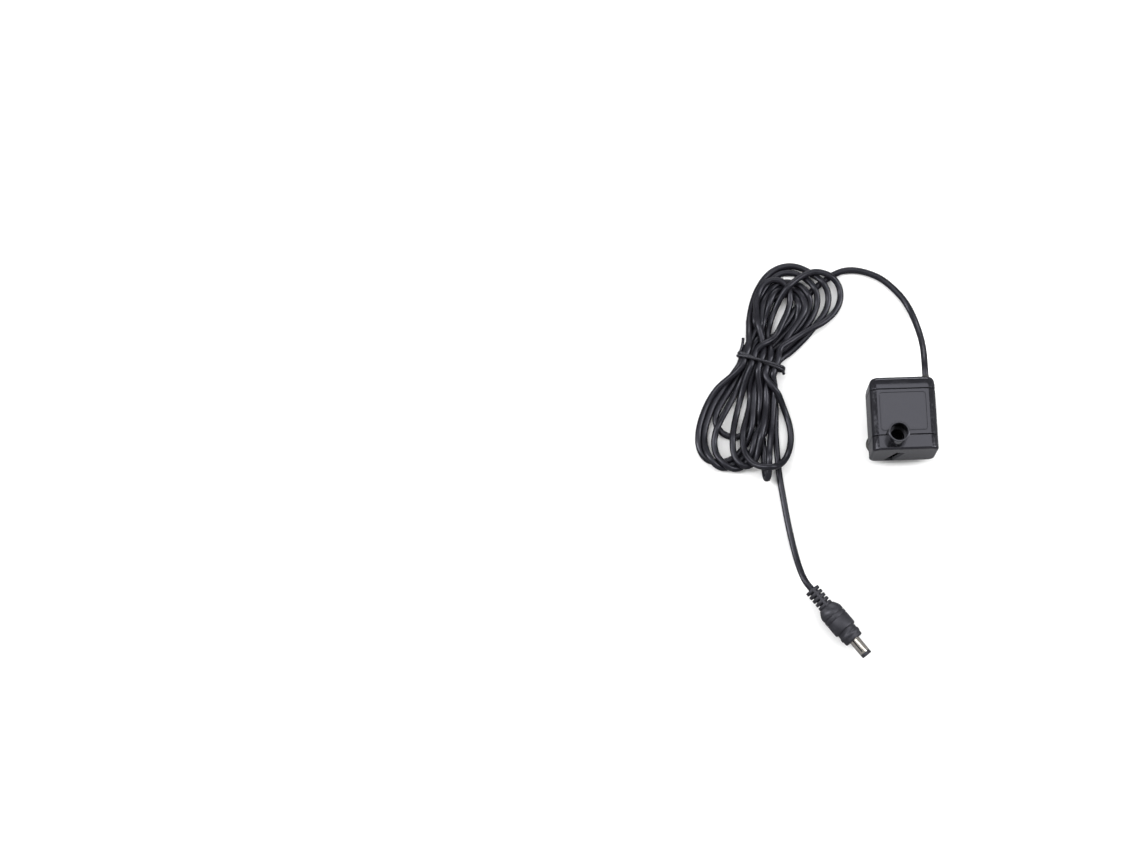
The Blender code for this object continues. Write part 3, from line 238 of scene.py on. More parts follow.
def makeWinding(name, axis):
    # enamelled wire lying side by side; the bands run along the axis given
    material = bpy.data.materials.new(name)
    material.use_nodes = True
    tree = material.node_tree
    shader = tree.nodes["Principled BSDF"]
    shader.inputs["Metallic"].default_value = 0.85
    shader.inputs["Coat Weight"].default_value = 0.35
    place = addNode(tree, "ShaderNodeTexCoord")
    bands = addNode(tree, "ShaderNodeTexWave", wave_type="BANDS", bands_direction=axis, wave_profile="SIN")
    bands.inputs["Scale"].default_value = math.tau / (20 * windingValues["pitch"])
    bands.inputs["Distortion"].default_value = 0.6
    bands.inputs["Detail"].default_value = 1.0
    bands.inputs["Detail Scale"].default_value = 3.0
    tint = addNode(tree, "ShaderNodeMix", data_type="RGBA")
    tint.inputs[6].default_value = (*windingValues["gap"], 1)
    tint.inputs[7].default_value = (*windingValues["wire"], 1)
    rough = addNode(tree, "ShaderNodeMapRange")
    rough.inputs["To Min"].default_value = windingValues["rough"][1]
    rough.inputs["To Max"].default_value = windingValues["rough"][0]
    bump = addNode(tree, "ShaderNodeBump")
    bump.inputs["Strength"].default_value = 1.0
    bump.inputs["Distance"].default_value = 0.00012
    link = tree.links.new
    link(place.outputs["Object"], bands.inputs["Vector"])
    link(bands.outputs["Fac"], tint.inputs[0])
    link(tint.outputs[2], shader.inputs["Base Color"])
    link(bands.outputs["Fac"], rough.inputs["Value"])
    link(rough.outputs["Result"], shader.inputs["Roughness"])
    link(bands.outputs["Fac"], bump.inputs["Height"])
    link(bump.outputs["Normal"], shader.inputs["Normal"])
    return material


print("materials ready:", len(materials))


# making and placing meshes

def addPiece(name, data, finish, body):
    piece = bpy.data.objects.new(name, data)
    bpy.context.scene.collection.objects.link(piece)
    data.materials.clear()
    data.materials.append(materials[finish])
    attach(piece, body)
    return piece


def newTool(name, bm):
    mesh = bpy.data.meshes.new(name)
    bm.to_mesh(mesh)
    bm.free()
    tool = bpy.data.objects.new(name, mesh)
    bpy.context.scene.collection.objects.link(tool)
    return tool


def combine(base, steps):
    # runs exact booleans one after another and returns the finished mesh
    for tool, operation in steps:
        modifier = base.modifiers.new(tool.name, "BOOLEAN")
        modifier.operation = operation
        modifier.object = tool
        modifier.solver = "EXACT"
    bpy.context.view_layer.update()
    mesh = bpy.data.meshes.new_from_object(base.evaluated_get(bpy.context.evaluated_depsgraph_get()))
    mesh.name = base.name
    for piece in [base] + [tool for tool, operation in steps]:
        bpy.data.objects.remove(piece, do_unlink=True)
    return mesh


def smoothFaces(mesh, degrees=32):
    mesh.shade_smooth()
    mesh.set_sharp_from_angle(angle=math.radians(degrees))
    return mesh


def evenShading(piece):
    # keeps the large flat faces flat next to their rounded edges
    modifier = piece.modifiers.new("evenShading", "WEIGHTED_NORMAL")
    modifier.keep_sharp = True
    modifier.weight = 80


def roundedBlock(low, high, longRadius, longSteps, ends=(), along=1):
    # a block with the four edges along one axis rounded, then the rims of its ends: (place, radius, steps)
    low, high = Vector(low), Vector(high)
    size = high - low
    bm = bmesh.new()
    bmesh.ops.create_cube(bm, size=1.0)
    bmesh.ops.scale(bm, vec=size, verts=bm.verts)
    bmesh.ops.translate(bm, vec=(high + low) / 2, verts=bm.verts)
    longEdges = [e for e in bm.edges if abs(e.verts[0].co[along] - e.verts[1].co[along]) > size[along] / 2]
    bmesh.ops.bevel(bm, geom=longEdges, offset=longRadius, segments=longSteps, profile=0.5, affect="EDGES",
                    material=-1)
    for place, radius, steps in ends:
        rim = [e for e in bm.edges if all(abs(v.co[along] - place) < 0.01 * mm for v in e.verts)]
        bmesh.ops.bevel(bm, geom=rim, offset=radius, segments=steps, profile=0.5, affect="EDGES", material=-1)
    return bm


def softOutline(points, radius, steps=3):
    # rounds the corners of an outline; a radius may be one number or one for each point
    count = len(points)
    radii = [radius] * count if isinstance(radius, (int, float)) else list(radius)
    rounded = []
    for index, point in enumerate(points):
        here = Vector(point)
        if index in (0, count - 1) or radii[index] <= 0:
            rounded.append(tuple(here))
            continue
        before = Vector(points[index - 1]) - here
        after = Vector(points[index + 1]) - here
        reach = min(radii[index], 0.45 * before.length, 0.45 * after.length)
        start = here + before.normalized() * reach
        end = here + after.normalized() * reach
        for step in range(steps + 1):
            t = step / steps
            rounded.append(tuple((1 - t) ** 2 * start + 2 * t * (1 - t) * here + t * t * end))
    return rounded


def turnedMesh(outline, steps, place=None, closed=False):
    # spins an outline of (radius, height) points about its own Z, then moves it to its place
    bm = bmesh.new()
    corners = [bm.verts.new((radius, 0, height)) for radius, height in outline]
    pairs = list(zip(corners, corners[1:])) + ([(corners[-1], corners[0])] if closed else [])
    edges = [bm.edges.new(pair) for pair in pairs]
    bmesh.ops.spin(bm, geom=corners + edges, cent=(0, 0, 0), axis=(0, 0, 1), angle=math.tau, steps=steps,
                   use_merge=True)
    bmesh.ops.remove_doubles(bm, verts=bm.verts, dist=0.0005 * mm)
    bmesh.ops.recalc_face_normals(bm, faces=bm.faces)
    if place is not None:
        bmesh.ops.transform(bm, matrix=place, verts=bm.verts)
    return bm


def meshFrom(name, bm, degrees=32):
    mesh = bpy.data.meshes.new(name)
    bm.to_mesh(mesh)
    bm.free()
    return smoothFaces(mesh, degrees)


def scaled(outline):
    return [(radius * mm, height * mm) for radius, height in outline]


def alongY(x, z):
    return Matrix.Translation((x, 0, z)) @ Matrix.Rotation(-math.pi / 2, 4, "X")


# the cord: lead, tied hank and tail in one length, in millimetres

cordValues = {
    "diameter": 3.3,
    "step": 2.0,            # spacing of the points that settle
    "finish": 1.6,          # spacing of the points that stay
    "rounds": 420,
    "late": 0.75,           # the part of the rounds after which the second of each pair below holds
    "fall": (0.09, 0.036),
    "stiffen": (3, 6),
    "stiffness": 0.6,
    "relax": (0.12, 0.3),
    "homePull": (0.05, 0.03),
    "pressed": 0.97,        # strands nearer than this, in diameters, are pushed apart
    "push": 0.3,
    "lookEvery": 5,         # rounds between looks for strands that lie close
    "lookReach": 1.7,       # and how far each look reaches, in diameters
    "straight": 4,          # run of cord before and after the middle of the tie
    "heldLead": 47,         # points that stay put at the pump
    "heldTail": 32,         # and at the plug
    "tieMiddle": (-69.7, 34.4),
    "tieTurn": -21,
    "lead": [(13.0, 21.3, 21.0), (13.0, 26.5, 20.9), (13.4, 37.0, 15.8), (13.1, 46.5, 9.0), (11.6, 55.5, 4.0),
             (9.0, 63.4, 1.9), (4.8, 70.3, 1.7), (-4.8, 79.6, 1.7), (-15.6, 84.0, 1.9), (-23.5, 84.3, 2.0),
             (-29.2, 82.1, 2.2), (-34.2, 79.6, 1.8), (-45.0, 70.0, 1.7), (-55.0, 57.0, 1.8),
             (-64.0, 44.5, 2.8)],
    "tail": [(-64.7, 21.4, 3.0), (-64.2, 11.2, 1.8), (-63.7, 1.0, 1.7), (-63.2, -11.2, 1.8),
             (-62.6, -23.8, 2.0), (-61.4, -34.0, 1.8), (-59.7, -47.0, 1.7), (-57.9, -58.3, 1.8),
             (-55.9, -68.6, 2.9), (-53.8, -77.0, 5.2), (-51.8, -81.7, 6.3), (-49.7, -84.5, 6.3),
             (-49.1, -85.4, 6.3)],
    # where each strand passes the tie: across it, and over the floor
    "strands": [(-4.1, 3.3), (-8.2, 3.3), (0.0, 3.3), (-8.3, 9.0), (8.2, 3.3), (-10.0, 6.1), (2.05, 6.2),
                (-6.15, 6.2), (6.15, 6.2), (-4.15, 9.1), (-0.1, 9.1), (8.0, 9.0), (4.0, 9.1),
                (-2.05, 6.2), (4.1, 3.3)],
    # each loop in turn, below the tie and then above it: how high it lies in the heap, then its points;
    # a point with its own height stays there
    "loops": [
        (0, [(-71, 12), (-76, 0), (-82.5, -4.8), (-89, -3.6), (-94.7, 1.5), (-95, 9), (-89, 19)]),
        (1, [(-73, 52), (-66.8, 66), (-59, 74), (-51, 73.5), (-45.5, 67), (-47, 59), (-56, 49)]),
        (1, [(-74, 12), (-78, -6), (-86.5, -16.5), (-98.4, -17.6), (-104.0, -8), (-102.4, 3.2),
             (-94.4, 19.3)]),
        (2, [(-73.6, 54.4), (-70.4, 69.4), (-64.2, 83.2), (-52.3, 89.2), (-41.6, 84.8), (-31.0, 72),
             (-36.5, 57.5)]),
        (2, [(-65, 14), (-71, -6), (-80, -18.3), (-92.0, -20.8), (-100.0, -13), (-100.6, 0), (-94, 16)]),
        (3, [(-71.6, 50), (-68, 64), (-62.3, 76), (-54, 80.6), (-45, 75.5), (-41.5, 68), (-46.5, 56)]),
        (3, [(-69, 10), (-73, -6), (-79.5, -18), (-88.5, -21.7), (-95.6, -13.5), (-94.8, 0), (-86, 14.5)]),
        (4, [(-70.4, 50), (-65, 66), (-59.5, 75.5), (-50.5, 77), (-44.6, 71), (-46, 62), (-54, 49.5)]),
        (4, [(-67.5, 12), (-71.5, -4), (-75.2, -17), (-80.5, -22.4), (-85.6, -17), (-85.8, -3.4),
             (-80.1, 18.8)]),
        (6, [(-62.6, 46.0), (-56, 56.5), (-51.0, 68.6), (-54.0, 79.0), (-62.0, 81.6), (-69.8, 73.4),
             (-71.0, 58.5)]),
        (4, [(-70.6, 20), (-70.2, 8), (-70.1, -8, 1.7), (-70.0, -16, 1.7), (-69.9, -21.8, 2.2),
             (-69.7, -25.6, 4.1), (-69.2, -27.0, 6.5), (-68.7, -26.0, 8.9), (-68.2, -22.8, 10.3),
             (-67.8, -16, 10.8), (-66.6, -4), (-63.6, 14)]),
        (7, [(-59.2, 42.6), (-42.6, 53), (-27.2, 63.4), (-25.9, 78.2), (-39.0, 84.2), (-53.8, 75.0),
             (-64.0, 56.5)]),
        (7, [(-62.6, 19), (-56.0, 4), (-55.4, -9), (-63.6, -22.2), (-75, -21.8), (-81.4, -9), (-76.2, 9.5)]),
        (2, [(-72.0, 57), (-68.2, 72.5), (-61.8, 82.2), (-53, 86.0), (-42.6, 80.2), (-36.6, 69.2),
             (-44.4, 55.5)]),
    ],
}


def smoothRoute(points, step):
    # points at even steps along a smooth curve through the ones given
    points = np.array(points, float)
    points = np.vstack([2 * points[0] - points[1], points, 2 * points[-1] - points[-2]])
    spans = np.sqrt(np.linalg.norm(np.diff(points, axis=0), axis=1))
    curve = []
    for index in range(1, len(points) - 2):
        a, b, c, d = points[index - 1:index + 3]
        early, here, late = spans[index - 1:index + 2]
        start = (b - a) / early - (c - a) / (early + here) + (c - b) / here
        end = (c - b) / here - (d - b) / (here + late) + (d - c) / late
        start, end = start * here, end * here
        for t in np.linspace(0, 1, 24, endpoint=False):
            curve.append((2 * t ** 3 - 3 * t ** 2 + 1) * b + (t ** 3 - 2 * t ** 2 + t) * start
                         + (3 * t ** 2 - 2 * t ** 3) * c + (t ** 3 - t ** 2) * end)
    curve = np.array(curve + [points[-2]])
    gaps = np.linalg.norm(np.diff(curve, axis=0), axis=1)
    along = np.concatenate([[0], np.cumsum(gaps)])
    places = np.linspace(0, along[-1], max(2, round(along[-1] / step)) + 1)
    return np.stack([np.interp(places, along, curve[:, k]) for k in range(3)], axis=1)


def keepApart(cord, near, far, width, share):
    # pushes strands that overlap away from each other
    gap = cord[near] - cord[far]
    size = np.maximum(np.linalg.norm(gap, axis=1), 0.01)
    push = gap * (share * np.maximum(width - size, 0) / size)[:, None]
    np.add.at(cord, near, push)
    np.add.at(cord, far, -push)


def keepSpacing(cord, held, fixed):
    # keeps the points evenly spaced, each gap against the mean of the gaps around it
    gaps = np.linalg.norm(np.diff(cord, axis=0), axis=1)
    even = np.convolve(np.pad(gaps, 8, mode="edge"), np.ones(17) / 17, mode="valid")
    for parity in (0, 1):
        a = np.arange(parity, len(cord) - 1, 2)
        gap = cord[a + 1] - cord[a]
        size = np.linalg.norm(gap, axis=1)
        pull = gap * (0.3 * (size - even[a]) / size)[:, None]
        cord[a] += pull
        cord[a + 1] -= pull
        cord[held] = fixed


def routeCord():
    # the listed route, the tie crossings and the places that keep their height
    values = cordValues
    turn = math.radians(values["tieTurn"])
    across = np.array([math.cos(turn), math.sin(turn), 0])
    along = np.array([-math.sin(turn), math.cos(turn), 0])
    middle = np.array([*values["tieMiddle"], 0])
    route = list(values["lead"])
    crossings, keeps = [], []
    for index, (side, height) in enumerate(values["strands"]):
        point = middle + across * side + np.array([0, 0, height])
        ahead = -along if index % 2 == 0 else along      # strands run down and up by turns
        crossings.append((point, ahead))
        run = ahead * values["straight"]
        route += [tuple(point - run), tuple(point), tuple(point + run)]
        if index < len(values["loops"]):
            level, places = values["loops"][index]
            z = values["diameter"] * (0.5 + level)
            route += [(*place[:2], z if len(place) == 2 else place[2]) for place in places]
            keeps += [np.array(place) for place in places if len(place) == 3]
    return route + values["tail"], crossings, keeps


def holdCord(cord, crossings, keeps):
    # the lead, the tail and the crossings under the tie don't move while the rest settles
    step = cordValues["step"]
    held = np.zeros(len(cord), bool)
    held[:cordValues["heldLead"]] = True
    held[-cordValues["heldTail"]:] = True
    start = 0
    for point, ahead in crossings:
        # the next crossing lies within 160 points, and at least 18 after the last one
        near = start + int(np.argmin(((cord[start:start + 160] - point) ** 2).sum(1)))
        for shift in (-2, -1, 0, 1, 2):
            cord[near + shift] = point + ahead * shift * step
            held[near + shift] = True
        start = near + 18
    for point in keeps:
        held[int(np.argmin(((cord - point) ** 2).sum(1)))] = True
    return held


def layCord():
    values = cordValues
    width = values["diameter"]
    route, crossings, keeps = routeCord()
    cord = smoothRoute(route, values["step"])
    home = cord[:, :2].copy()
    held = holdCord(cord, crossings, keeps)
    free = ~held
    fixed = cord[held].copy()
    inner = free.copy()
    inner[:2] = inner[-2:] = False
    beam = cord.copy()
    for turnIndex in range(values["rounds"]):
        stage = int(turnIndex > values["rounds"] * values["late"])
        cord[free, 2] -= values["fall"][stage]
        for repeat in range(values["stiffen"][stage]):
            beam[2:-2] = (4 * (cord[1:-3] + cord[3:-1]) - cord[:-4] - cord[4:]) / 6
            cord[inner] += values["stiffness"] * (beam[inner] - cord[inner])
        beam[1:-1] = (cord[:-2] + cord[2:]) / 2
        cord[inner] += values["relax"][stage] * (beam[inner] - cord[inner])
        cord[free, :2] += values["homePull"][stage] * (home[free] - cord[free, :2])
        keepSpacing(cord, held, fixed)
        if turnIndex % values["lookEvery"] == 0:
            apart = ((cord[:, None, :] - cord[None, :, :]) ** 2).sum(2)
            near, far = np.nonzero(np.triu(apart < (values["lookReach"] * width) ** 2, 6))
        for repeat in range(2):
            keepApart(cord, near, far, width * values["pressed"], values["push"])
            cord[held] = fixed
        cord[free, 2] = np.maximum(cord[free, 2], width / 2 + 0.05)
    gap = cord[near] - cord[far]
    print("cord settled, closest strands", round(float(np.linalg.norm(gap, axis=1).min()), 2), "mm apart")
    return smoothRoute(cord, values["finish"])


def tubeCurve(name, points, radius, finish, body, detail=5):
    curve = bpy.data.curves.new(name, "CURVE")
    curve.dimensions = "3D"
    curve.bevel_depth = radius
    curve.bevel_resolution = detail
    curve.use_fill_caps = True
    spline = curve.splines.new("POLY")
    spline.points.add(len(points) - 1)
    for splinePoint, point in zip(spline.points, points):
        splinePoint.co = (*point, 1.0)
    return addPiece(name, curve, finish, body)


cordPoints = layCord() * mm
cord = tubeCurve("cord", cordPoints, cordValues["diameter"] * mm / 2, "cordVinyl", "pump")
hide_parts("cord_lead", "cord_hank", "cord_tail")


# the tie: a thin covered wire, twice round the hank, its ends left standing out

tieValues = {
    "radius": 0.75, "reach": 12.3, "low": 0.95, "high": 11.2, "corner": 2.6, "pitch": 1.6,
    "crossOver": 0.9,       # how much higher the second turn passes over the first
    # the two ends: past the side of the hank, along it, and over the floor
    "firstEnd": [(0.4, 9.5, 7.4), (-0.3, 6.2, 7.6), (-0.5, 2.6, 7.4)],
    "lastEnd": [(0.3, -0.9, 7.4), (0.9, -1.6, 6.4)],
}


def makeTie():
    values = tieValues
    turn = math.radians(cordValues["tieTurn"])
    across = Vector((math.cos(turn), math.sin(turn), 0))
    along = Vector((-math.sin(turn), math.cos(turn), 0))
    middle = Vector((*cordValues["tieMiddle"], 0))

    def place(side, forward, height):
        return middle + across * side + along * forward + Vector((0, 0, height))

    reach, low, high, corner = values["reach"], values["low"], values["high"], values["corner"]
    points = [place(-reach - past, forward, height) for past, forward, height in values["firstEnd"]]
    for wrap in range(2):
        shift = values["pitch"] * (0.5 - wrap)
        over = values["crossOver"] * wrap
        ring = [(-reach, high - corner), (-reach + 0.8, high - 0.8), (-reach + corner, high)]
        ring += [(-reach / 3, high + over), (reach / 3, high + over), (reach - corner, high)]
        ring += [(reach - 0.8, high - 0.8), (reach, high - corner), (reach, low + corner)]
        ring += [(reach - 0.8, low + 0.6), (reach - corner, low), (0, low), (-reach + corner, low)]
        ring += [(-reach + 0.8, low + 0.6), (-reach, low + corner)]
        for side, height in ring if wrap == 0 else ring[:8]:
            slide = -shift * side / reach if height > high / 2 else shift
            points.append(place(side, slide, height))
    points += [place(reach + past, forward, height) for past, forward, height in values["lastEnd"]]
    route = smoothRoute([tuple(p) for p in points], 0.8) * mm
    tie = tubeCurve("tie", route, values["radius"] * mm, "tieWire", "pump", 3)
    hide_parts("cord_tie")
    return tie


tie = makeTie()
print("tie made")


# pump shell: middle housing, end cap and impeller cover, in millimetres

shellValues = {
    "longRadius": 4.5, "longSteps": 14, "wall": 1.5, "seamBevel": 0.25, "seamSteps": 3,
    "coverEndRadius": 1.2, "capEndRadius": 2.3, "endSteps": 8, "overlap": 0.2, "gap": 0.3, "capTaper": 0.04,
    "capFlat": 2.2, "lipWall": 1.0, "cupSeatRadius": 1.9, "cupSeatDepth": 1.1,
}
panelValues = {"width": 23.2, "length": 19.7, "offset": -0.5, "fromSeam": 2.0, "corner": 1.5,
               "cornerSteps": 10, "groove": 0.5, "depth": 0.36, "floorRadius": 0.22, "floorSteps": 5}
nozzleValues = {
    "x": -4.4, "y": -12.3, "radius": 5.3, "bore": 4.3, "port": 3.6, "portWall": 0.6, "height": 10.2,
    "step": 0.8, "lip": 0.25, "lipDepth": 1.2, "neckPlay": 0.1,
}
chamberValues = {"radius": 9.8, "wall": 1.2, "wellRadius": 4.6, "wellWall": 0.7, "bulkhead": -6.5,
                 "bulkheadBack": -5.1, "wellFloor": 7.9}
slotValues = {"length": 14.5, "width": 2.8, "tilt": 17.7, "x": -4.5, "z": 13.6, "chamfer": 1.0}

housingLow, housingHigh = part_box("motor_housing")
capLow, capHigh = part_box("end_cap")
coverLow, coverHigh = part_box("impeller_cover")
axisZ = (housingLow.z + housingHigh.z) / 2
bodyTop = housingHigh.z
bodyFloor = housingLow.z
halfWidth = housingHigh.x


def shellBlock(nearY, farY, inset, longRadius, ends=()):
    low = (-halfWidth + inset * mm, nearY, bodyFloor + inset * mm)
    high = (halfWidth - inset * mm, farY, bodyTop - inset * mm)
    return roundedBlock(low, high, longRadius * mm, shellValues["longSteps"], ends)


def rodY(name, x, z, radius, nearY, farY, steps=64):
    outline = [(0, farY), (radius, farY), (radius, nearY), (0, nearY)]
    return newTool(name, turnedMesh(outline, steps, alongY(x, z)))


def rodZ(name, x, y, radius, lowZ, highZ, steps=64):
    outline = [(0, highZ), (radius, highZ), (radius, lowZ), (0, lowZ)]
    return newTool(name, turnedMesh(outline, steps, Matrix.Translation((x, y, 0))))


def cupPlaces():
    places = []
    for index in (1, 2, 3):
        low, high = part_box(f"suction_cup_{index}")
        places.append(((low.x + high.x) / 2, (low.y + high.y) / 2))
    return places


def makeHousing():
    values = shellValues
    bevel, steps = values["seamBevel"] * mm, values["seamSteps"]
    near, far = housingLow.y, housingHigh.y
    wall, over = values["wall"], values["overlap"] * mm
    base = newTool("pumpHousing", shellBlock(near, far, 0, values["longRadius"],
                                             ((near, bevel, steps), (far, bevel, steps))))
    inner = values["longRadius"] - wall
    chamber = chamberValues
    wet = newTool("wetSide", shellBlock(near - over, chamber["bulkhead"] * mm, wall, inner))
    dry = newTool("drySide", shellBlock(chamber["bulkheadBack"] * mm, far + over, wall, inner))
    well = rodY("wellWall", 0, axisZ, (chamber["wellRadius"] + chamber["wellWall"]) * mm,
                chamber["bulkhead"] * mm + over, (chamber["wellFloor"] + chamber["wellWall"]) * mm)
    wellBore = rodY("wellBore", 0, axisZ, chamber["wellRadius"] * mm, chamber["bulkhead"] * mm - over,
                    chamber["wellFloor"] * mm)
    nozzle = nozzleValues
    notch = rodZ("nozzleNotch", nozzle["x"] * mm, nozzle["y"] * mm, (nozzle["radius"] + values["gap"]) * mm,
                 bodyTop - wall * mm - over, bodyTop + over, 96)
    tools = [(wet, "DIFFERENCE"), (dry, "DIFFERENCE"), (well, "UNION"), (wellBore, "DIFFERENCE"),
             (notch, "DIFFERENCE"), (makePanelFrame(far), "DIFFERENCE")]
    for index, (x, y) in enumerate(cupPlaces()):
        seat = rodZ(f"cupSeat{index}", x, y, values["cupSeatRadius"] * mm, bodyFloor - over,
                    bodyFloor + values["cupSeatDepth"] * mm, 32)
        tools.append((seat, "DIFFERENCE"))
    mesh = smoothFaces(combine(base, tools))
    housing = addPiece("pumpHousing", mesh, "glossBlack", "pump")
    evenShading(housing)
    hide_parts("motor_housing")


def makePanelFrame(farSeam):
    panel = panelValues
    half, step = panel["width"] / 2 * mm, panel["groove"] / 2 * mm
    farY = farSeam + shellValues["gap"] / 2 * mm - panel["fromSeam"] * mm
    nearY = farY - panel["length"] * mm
    floor = bodyTop - panel["depth"] * mm
    centre = panel["offset"] * mm
    corner, steps = panel["corner"] * mm, panel["cornerSteps"]
    outer = roundedBlock((centre - half - step, nearY - step, floor),
                         (centre + half + step, farY + step, bodyTop + mm), corner + step, steps,
                         ((floor, panel["floorRadius"] * mm, panel["floorSteps"]),), along=2)
    inner = roundedBlock((centre - half + step, nearY + step, floor - mm),
                         (centre + half - step, farY - step, bodyTop + 2 * mm), corner - step, steps, along=2)
    ring = combine(newTool("panelGroove", outer), [(newTool("panelCore", inner), "DIFFERENCE")])
    tool = bpy.data.objects.new("panelFrame", ring)
    bpy.context.scene.collection.objects.link(tool)
    return tool


def makeCap():
    values = shellValues
    near, far = capLow.y, capHigh.y
    seam = housingHigh.y + values["gap"] * mm
    over, wall, gap = values["overlap"] * mm, values["wall"], values["gap"]
    block = shellBlock(seam, far, 0, values["longRadius"],
                       ((seam, values["seamBevel"] * mm, values["seamSteps"]),
                        (far, values["capEndRadius"] * mm, values["endSteps"])))
    bend = seam + values["capFlat"] * mm
    bmesh.ops.bisect_plane(block, geom=block.verts[:] + block.edges[:] + block.faces[:],
                           plane_co=(0, bend, 0), plane_no=(0, 1, 0))
    for vert in block.verts:
        # the cap narrows a little towards its end
        draw = 1 - values["capTaper"] * max(0, vert.co.y - bend) / (far - bend)
        vert.co.x *= draw
        vert.co.z = axisZ + (vert.co.z - axisZ) * draw
    base = newTool("endCap", block)
    lip = newTool("capLip", shellBlock(near, seam + wall * mm, wall + gap, values["longRadius"] - wall - gap))
    inset = wall + gap + values["lipWall"]
    hollow = newTool("capHollow", shellBlock(near - over, far - wall * mm, inset,
                                             values["longRadius"] - wall - gap - values["lipWall"]))
    glandLow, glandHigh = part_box("cable_gland")
    hole = rodY("glandHole", (glandLow.x + glandHigh.x) / 2, (glandLow.z + glandHigh.z) / 2,
                (glandHigh.x - glandLow.x) / 2 + gap * mm, seam + wall * mm, far + over)
    mesh = smoothFaces(combine(base, [(lip, "UNION"), (hollow, "DIFFERENCE"), (hole, "DIFFERENCE")]))
    cap = addPiece("endCap", mesh, "glossBlack", "pump")
    evenShading(cap)
    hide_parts("end_cap")


def makeSlotTool(frontY):
    # the slot with its flared mouth
    slot = slotValues
    over = shellValues["overlap"]
    straight = shellValues["wall"] - slot["chamfer"] + over
    bm = bmesh.new()
    bmesh.ops.create_cube(bm, size=1.0)
    bmesh.ops.scale(bm, vec=(slot["width"] * mm, straight * mm, slot["length"] * mm), verts=bm.verts)
    mouth = [f for f in bm.faces if f.normal.y < -0.5]
    flare = bmesh.ops.extrude_face_region(bm, geom=mouth)
    bmesh.ops.delete(bm, geom=mouth, context="FACES")
    reach = (slot["chamfer"] + over) * mm
    for vert in [v for v in flare["geom"] if isinstance(v, bmesh.types.BMVert)]:
        vert.co += Vector((math.copysign(reach, vert.co.x), -reach, math.copysign(reach, vert.co.z)))
    bmesh.ops.recalc_face_normals(bm, faces=bm.faces)
    place = Matrix.Translation((slot["x"] * mm, frontY + (slot["chamfer"] + straight / 2) * mm,
                                slot["z"] * mm))
    bmesh.ops.transform(bm, matrix=place @ Matrix.Rotation(math.radians(slot["tilt"]), 4, "Y"),
                        verts=bm.verts)
    return newTool("intakeSlot", bm)


def makeCover():
    values, nozzle, chamber = shellValues, nozzleValues, chamberValues
    over, wall = values["overlap"] * mm, values["wall"]
    near = coverLow.y
    seam = housingLow.y - values["gap"] * mm
    base = newTool("impellerCover", shellBlock(near, seam, 0, values["longRadius"],
                                               ((seam, values["seamBevel"] * mm, values["seamSteps"]),
                                                (near, values["coverEndRadius"] * mm, values["endSteps"]))))
    hollow = newTool("coverHollow", shellBlock(near + wall * mm, seam + over, wall,
                                               values["longRadius"] - wall))
    chamberEnd = (nozzle["y"] + nozzle["port"] + nozzle["portWall"]) * mm
    ring = rodY("chamberWall", 0, axisZ, (chamber["radius"] + chamber["wall"]) * mm,
                near + wall * mm - over / 2, chamberEnd, 96)
    top = bodyTop + nozzle["height"] * mm
    foot = bodyTop - wall * mm + over
    neck = (nozzle["port"] + nozzle["portWall"] - nozzle["neckPlay"]) * mm
    neckLow = axisZ + chamber["radius"] / 2 * mm
    radius, bore = nozzle["radius"] * mm, nozzle["bore"] * mm
    place = Matrix.Translation((nozzle["x"] * mm, nozzle["y"] * mm, 0))
    outline = [(0, top), (radius, top), (radius, foot), (neck, foot), (neck, neckLow), (0, neckLow)]
    soft = softOutline(outline, [0, nozzle["lip"] * mm, 0, 0, 0, 0], 4)
    tube = newTool("nozzleWall", turnedMesh(soft, 96, place))
    chamberBore = rodY("chamberBore", 0, axisZ, chamber["radius"] * mm, near + wall * mm - over,
                       chamberEnd + over, 96)
    boreFloor = foot + nozzle["step"] * mm
    lip = nozzle["lip"] * mm
    outline = [(0, top + over), (bore + lip + over, top + over), (bore + lip, top),
               (bore, top - lip * nozzle["lipDepth"]), (bore, boreFloor), (nozzle["port"] * mm, boreFloor),
               (nozzle["port"] * mm, neckLow), (0, neckLow)]
    nozzleBore = newTool("nozzleBore", turnedMesh(outline, 96, place))
    tools = [(makeSlotTool(near), "DIFFERENCE"), (hollow, "DIFFERENCE"), (ring, "UNION"), (tube, "UNION"),
             (chamberBore, "DIFFERENCE"), (nozzleBore, "DIFFERENCE")]
    mesh = smoothFaces(combine(base, tools))
    cover = addPiece("impellerCover", mesh, "glossBlack", "cover")
    evenShading(cover)
    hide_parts("impeller_cover")


makeHousing()
makeCap()
makeCover()
print("pump shell made")


# suction cups and cable gland

cupValues = {"stem": 1.6, "neck": 2.1, "neckHeight": 0.9, "bell": 3.75, "bellHeight": 1.5, "rim": 5.2,
             "rimHeight": 0.35, "rimWidth": 0.7, "hollow": 2.6, "hollowShoulder": 1.0, "hollowTop": 1.3,
             "seat": 4.8, "shoulder": 3.7}
glandValues = {"taper": 0.12, "collar": 1.2, "play": 0.08}


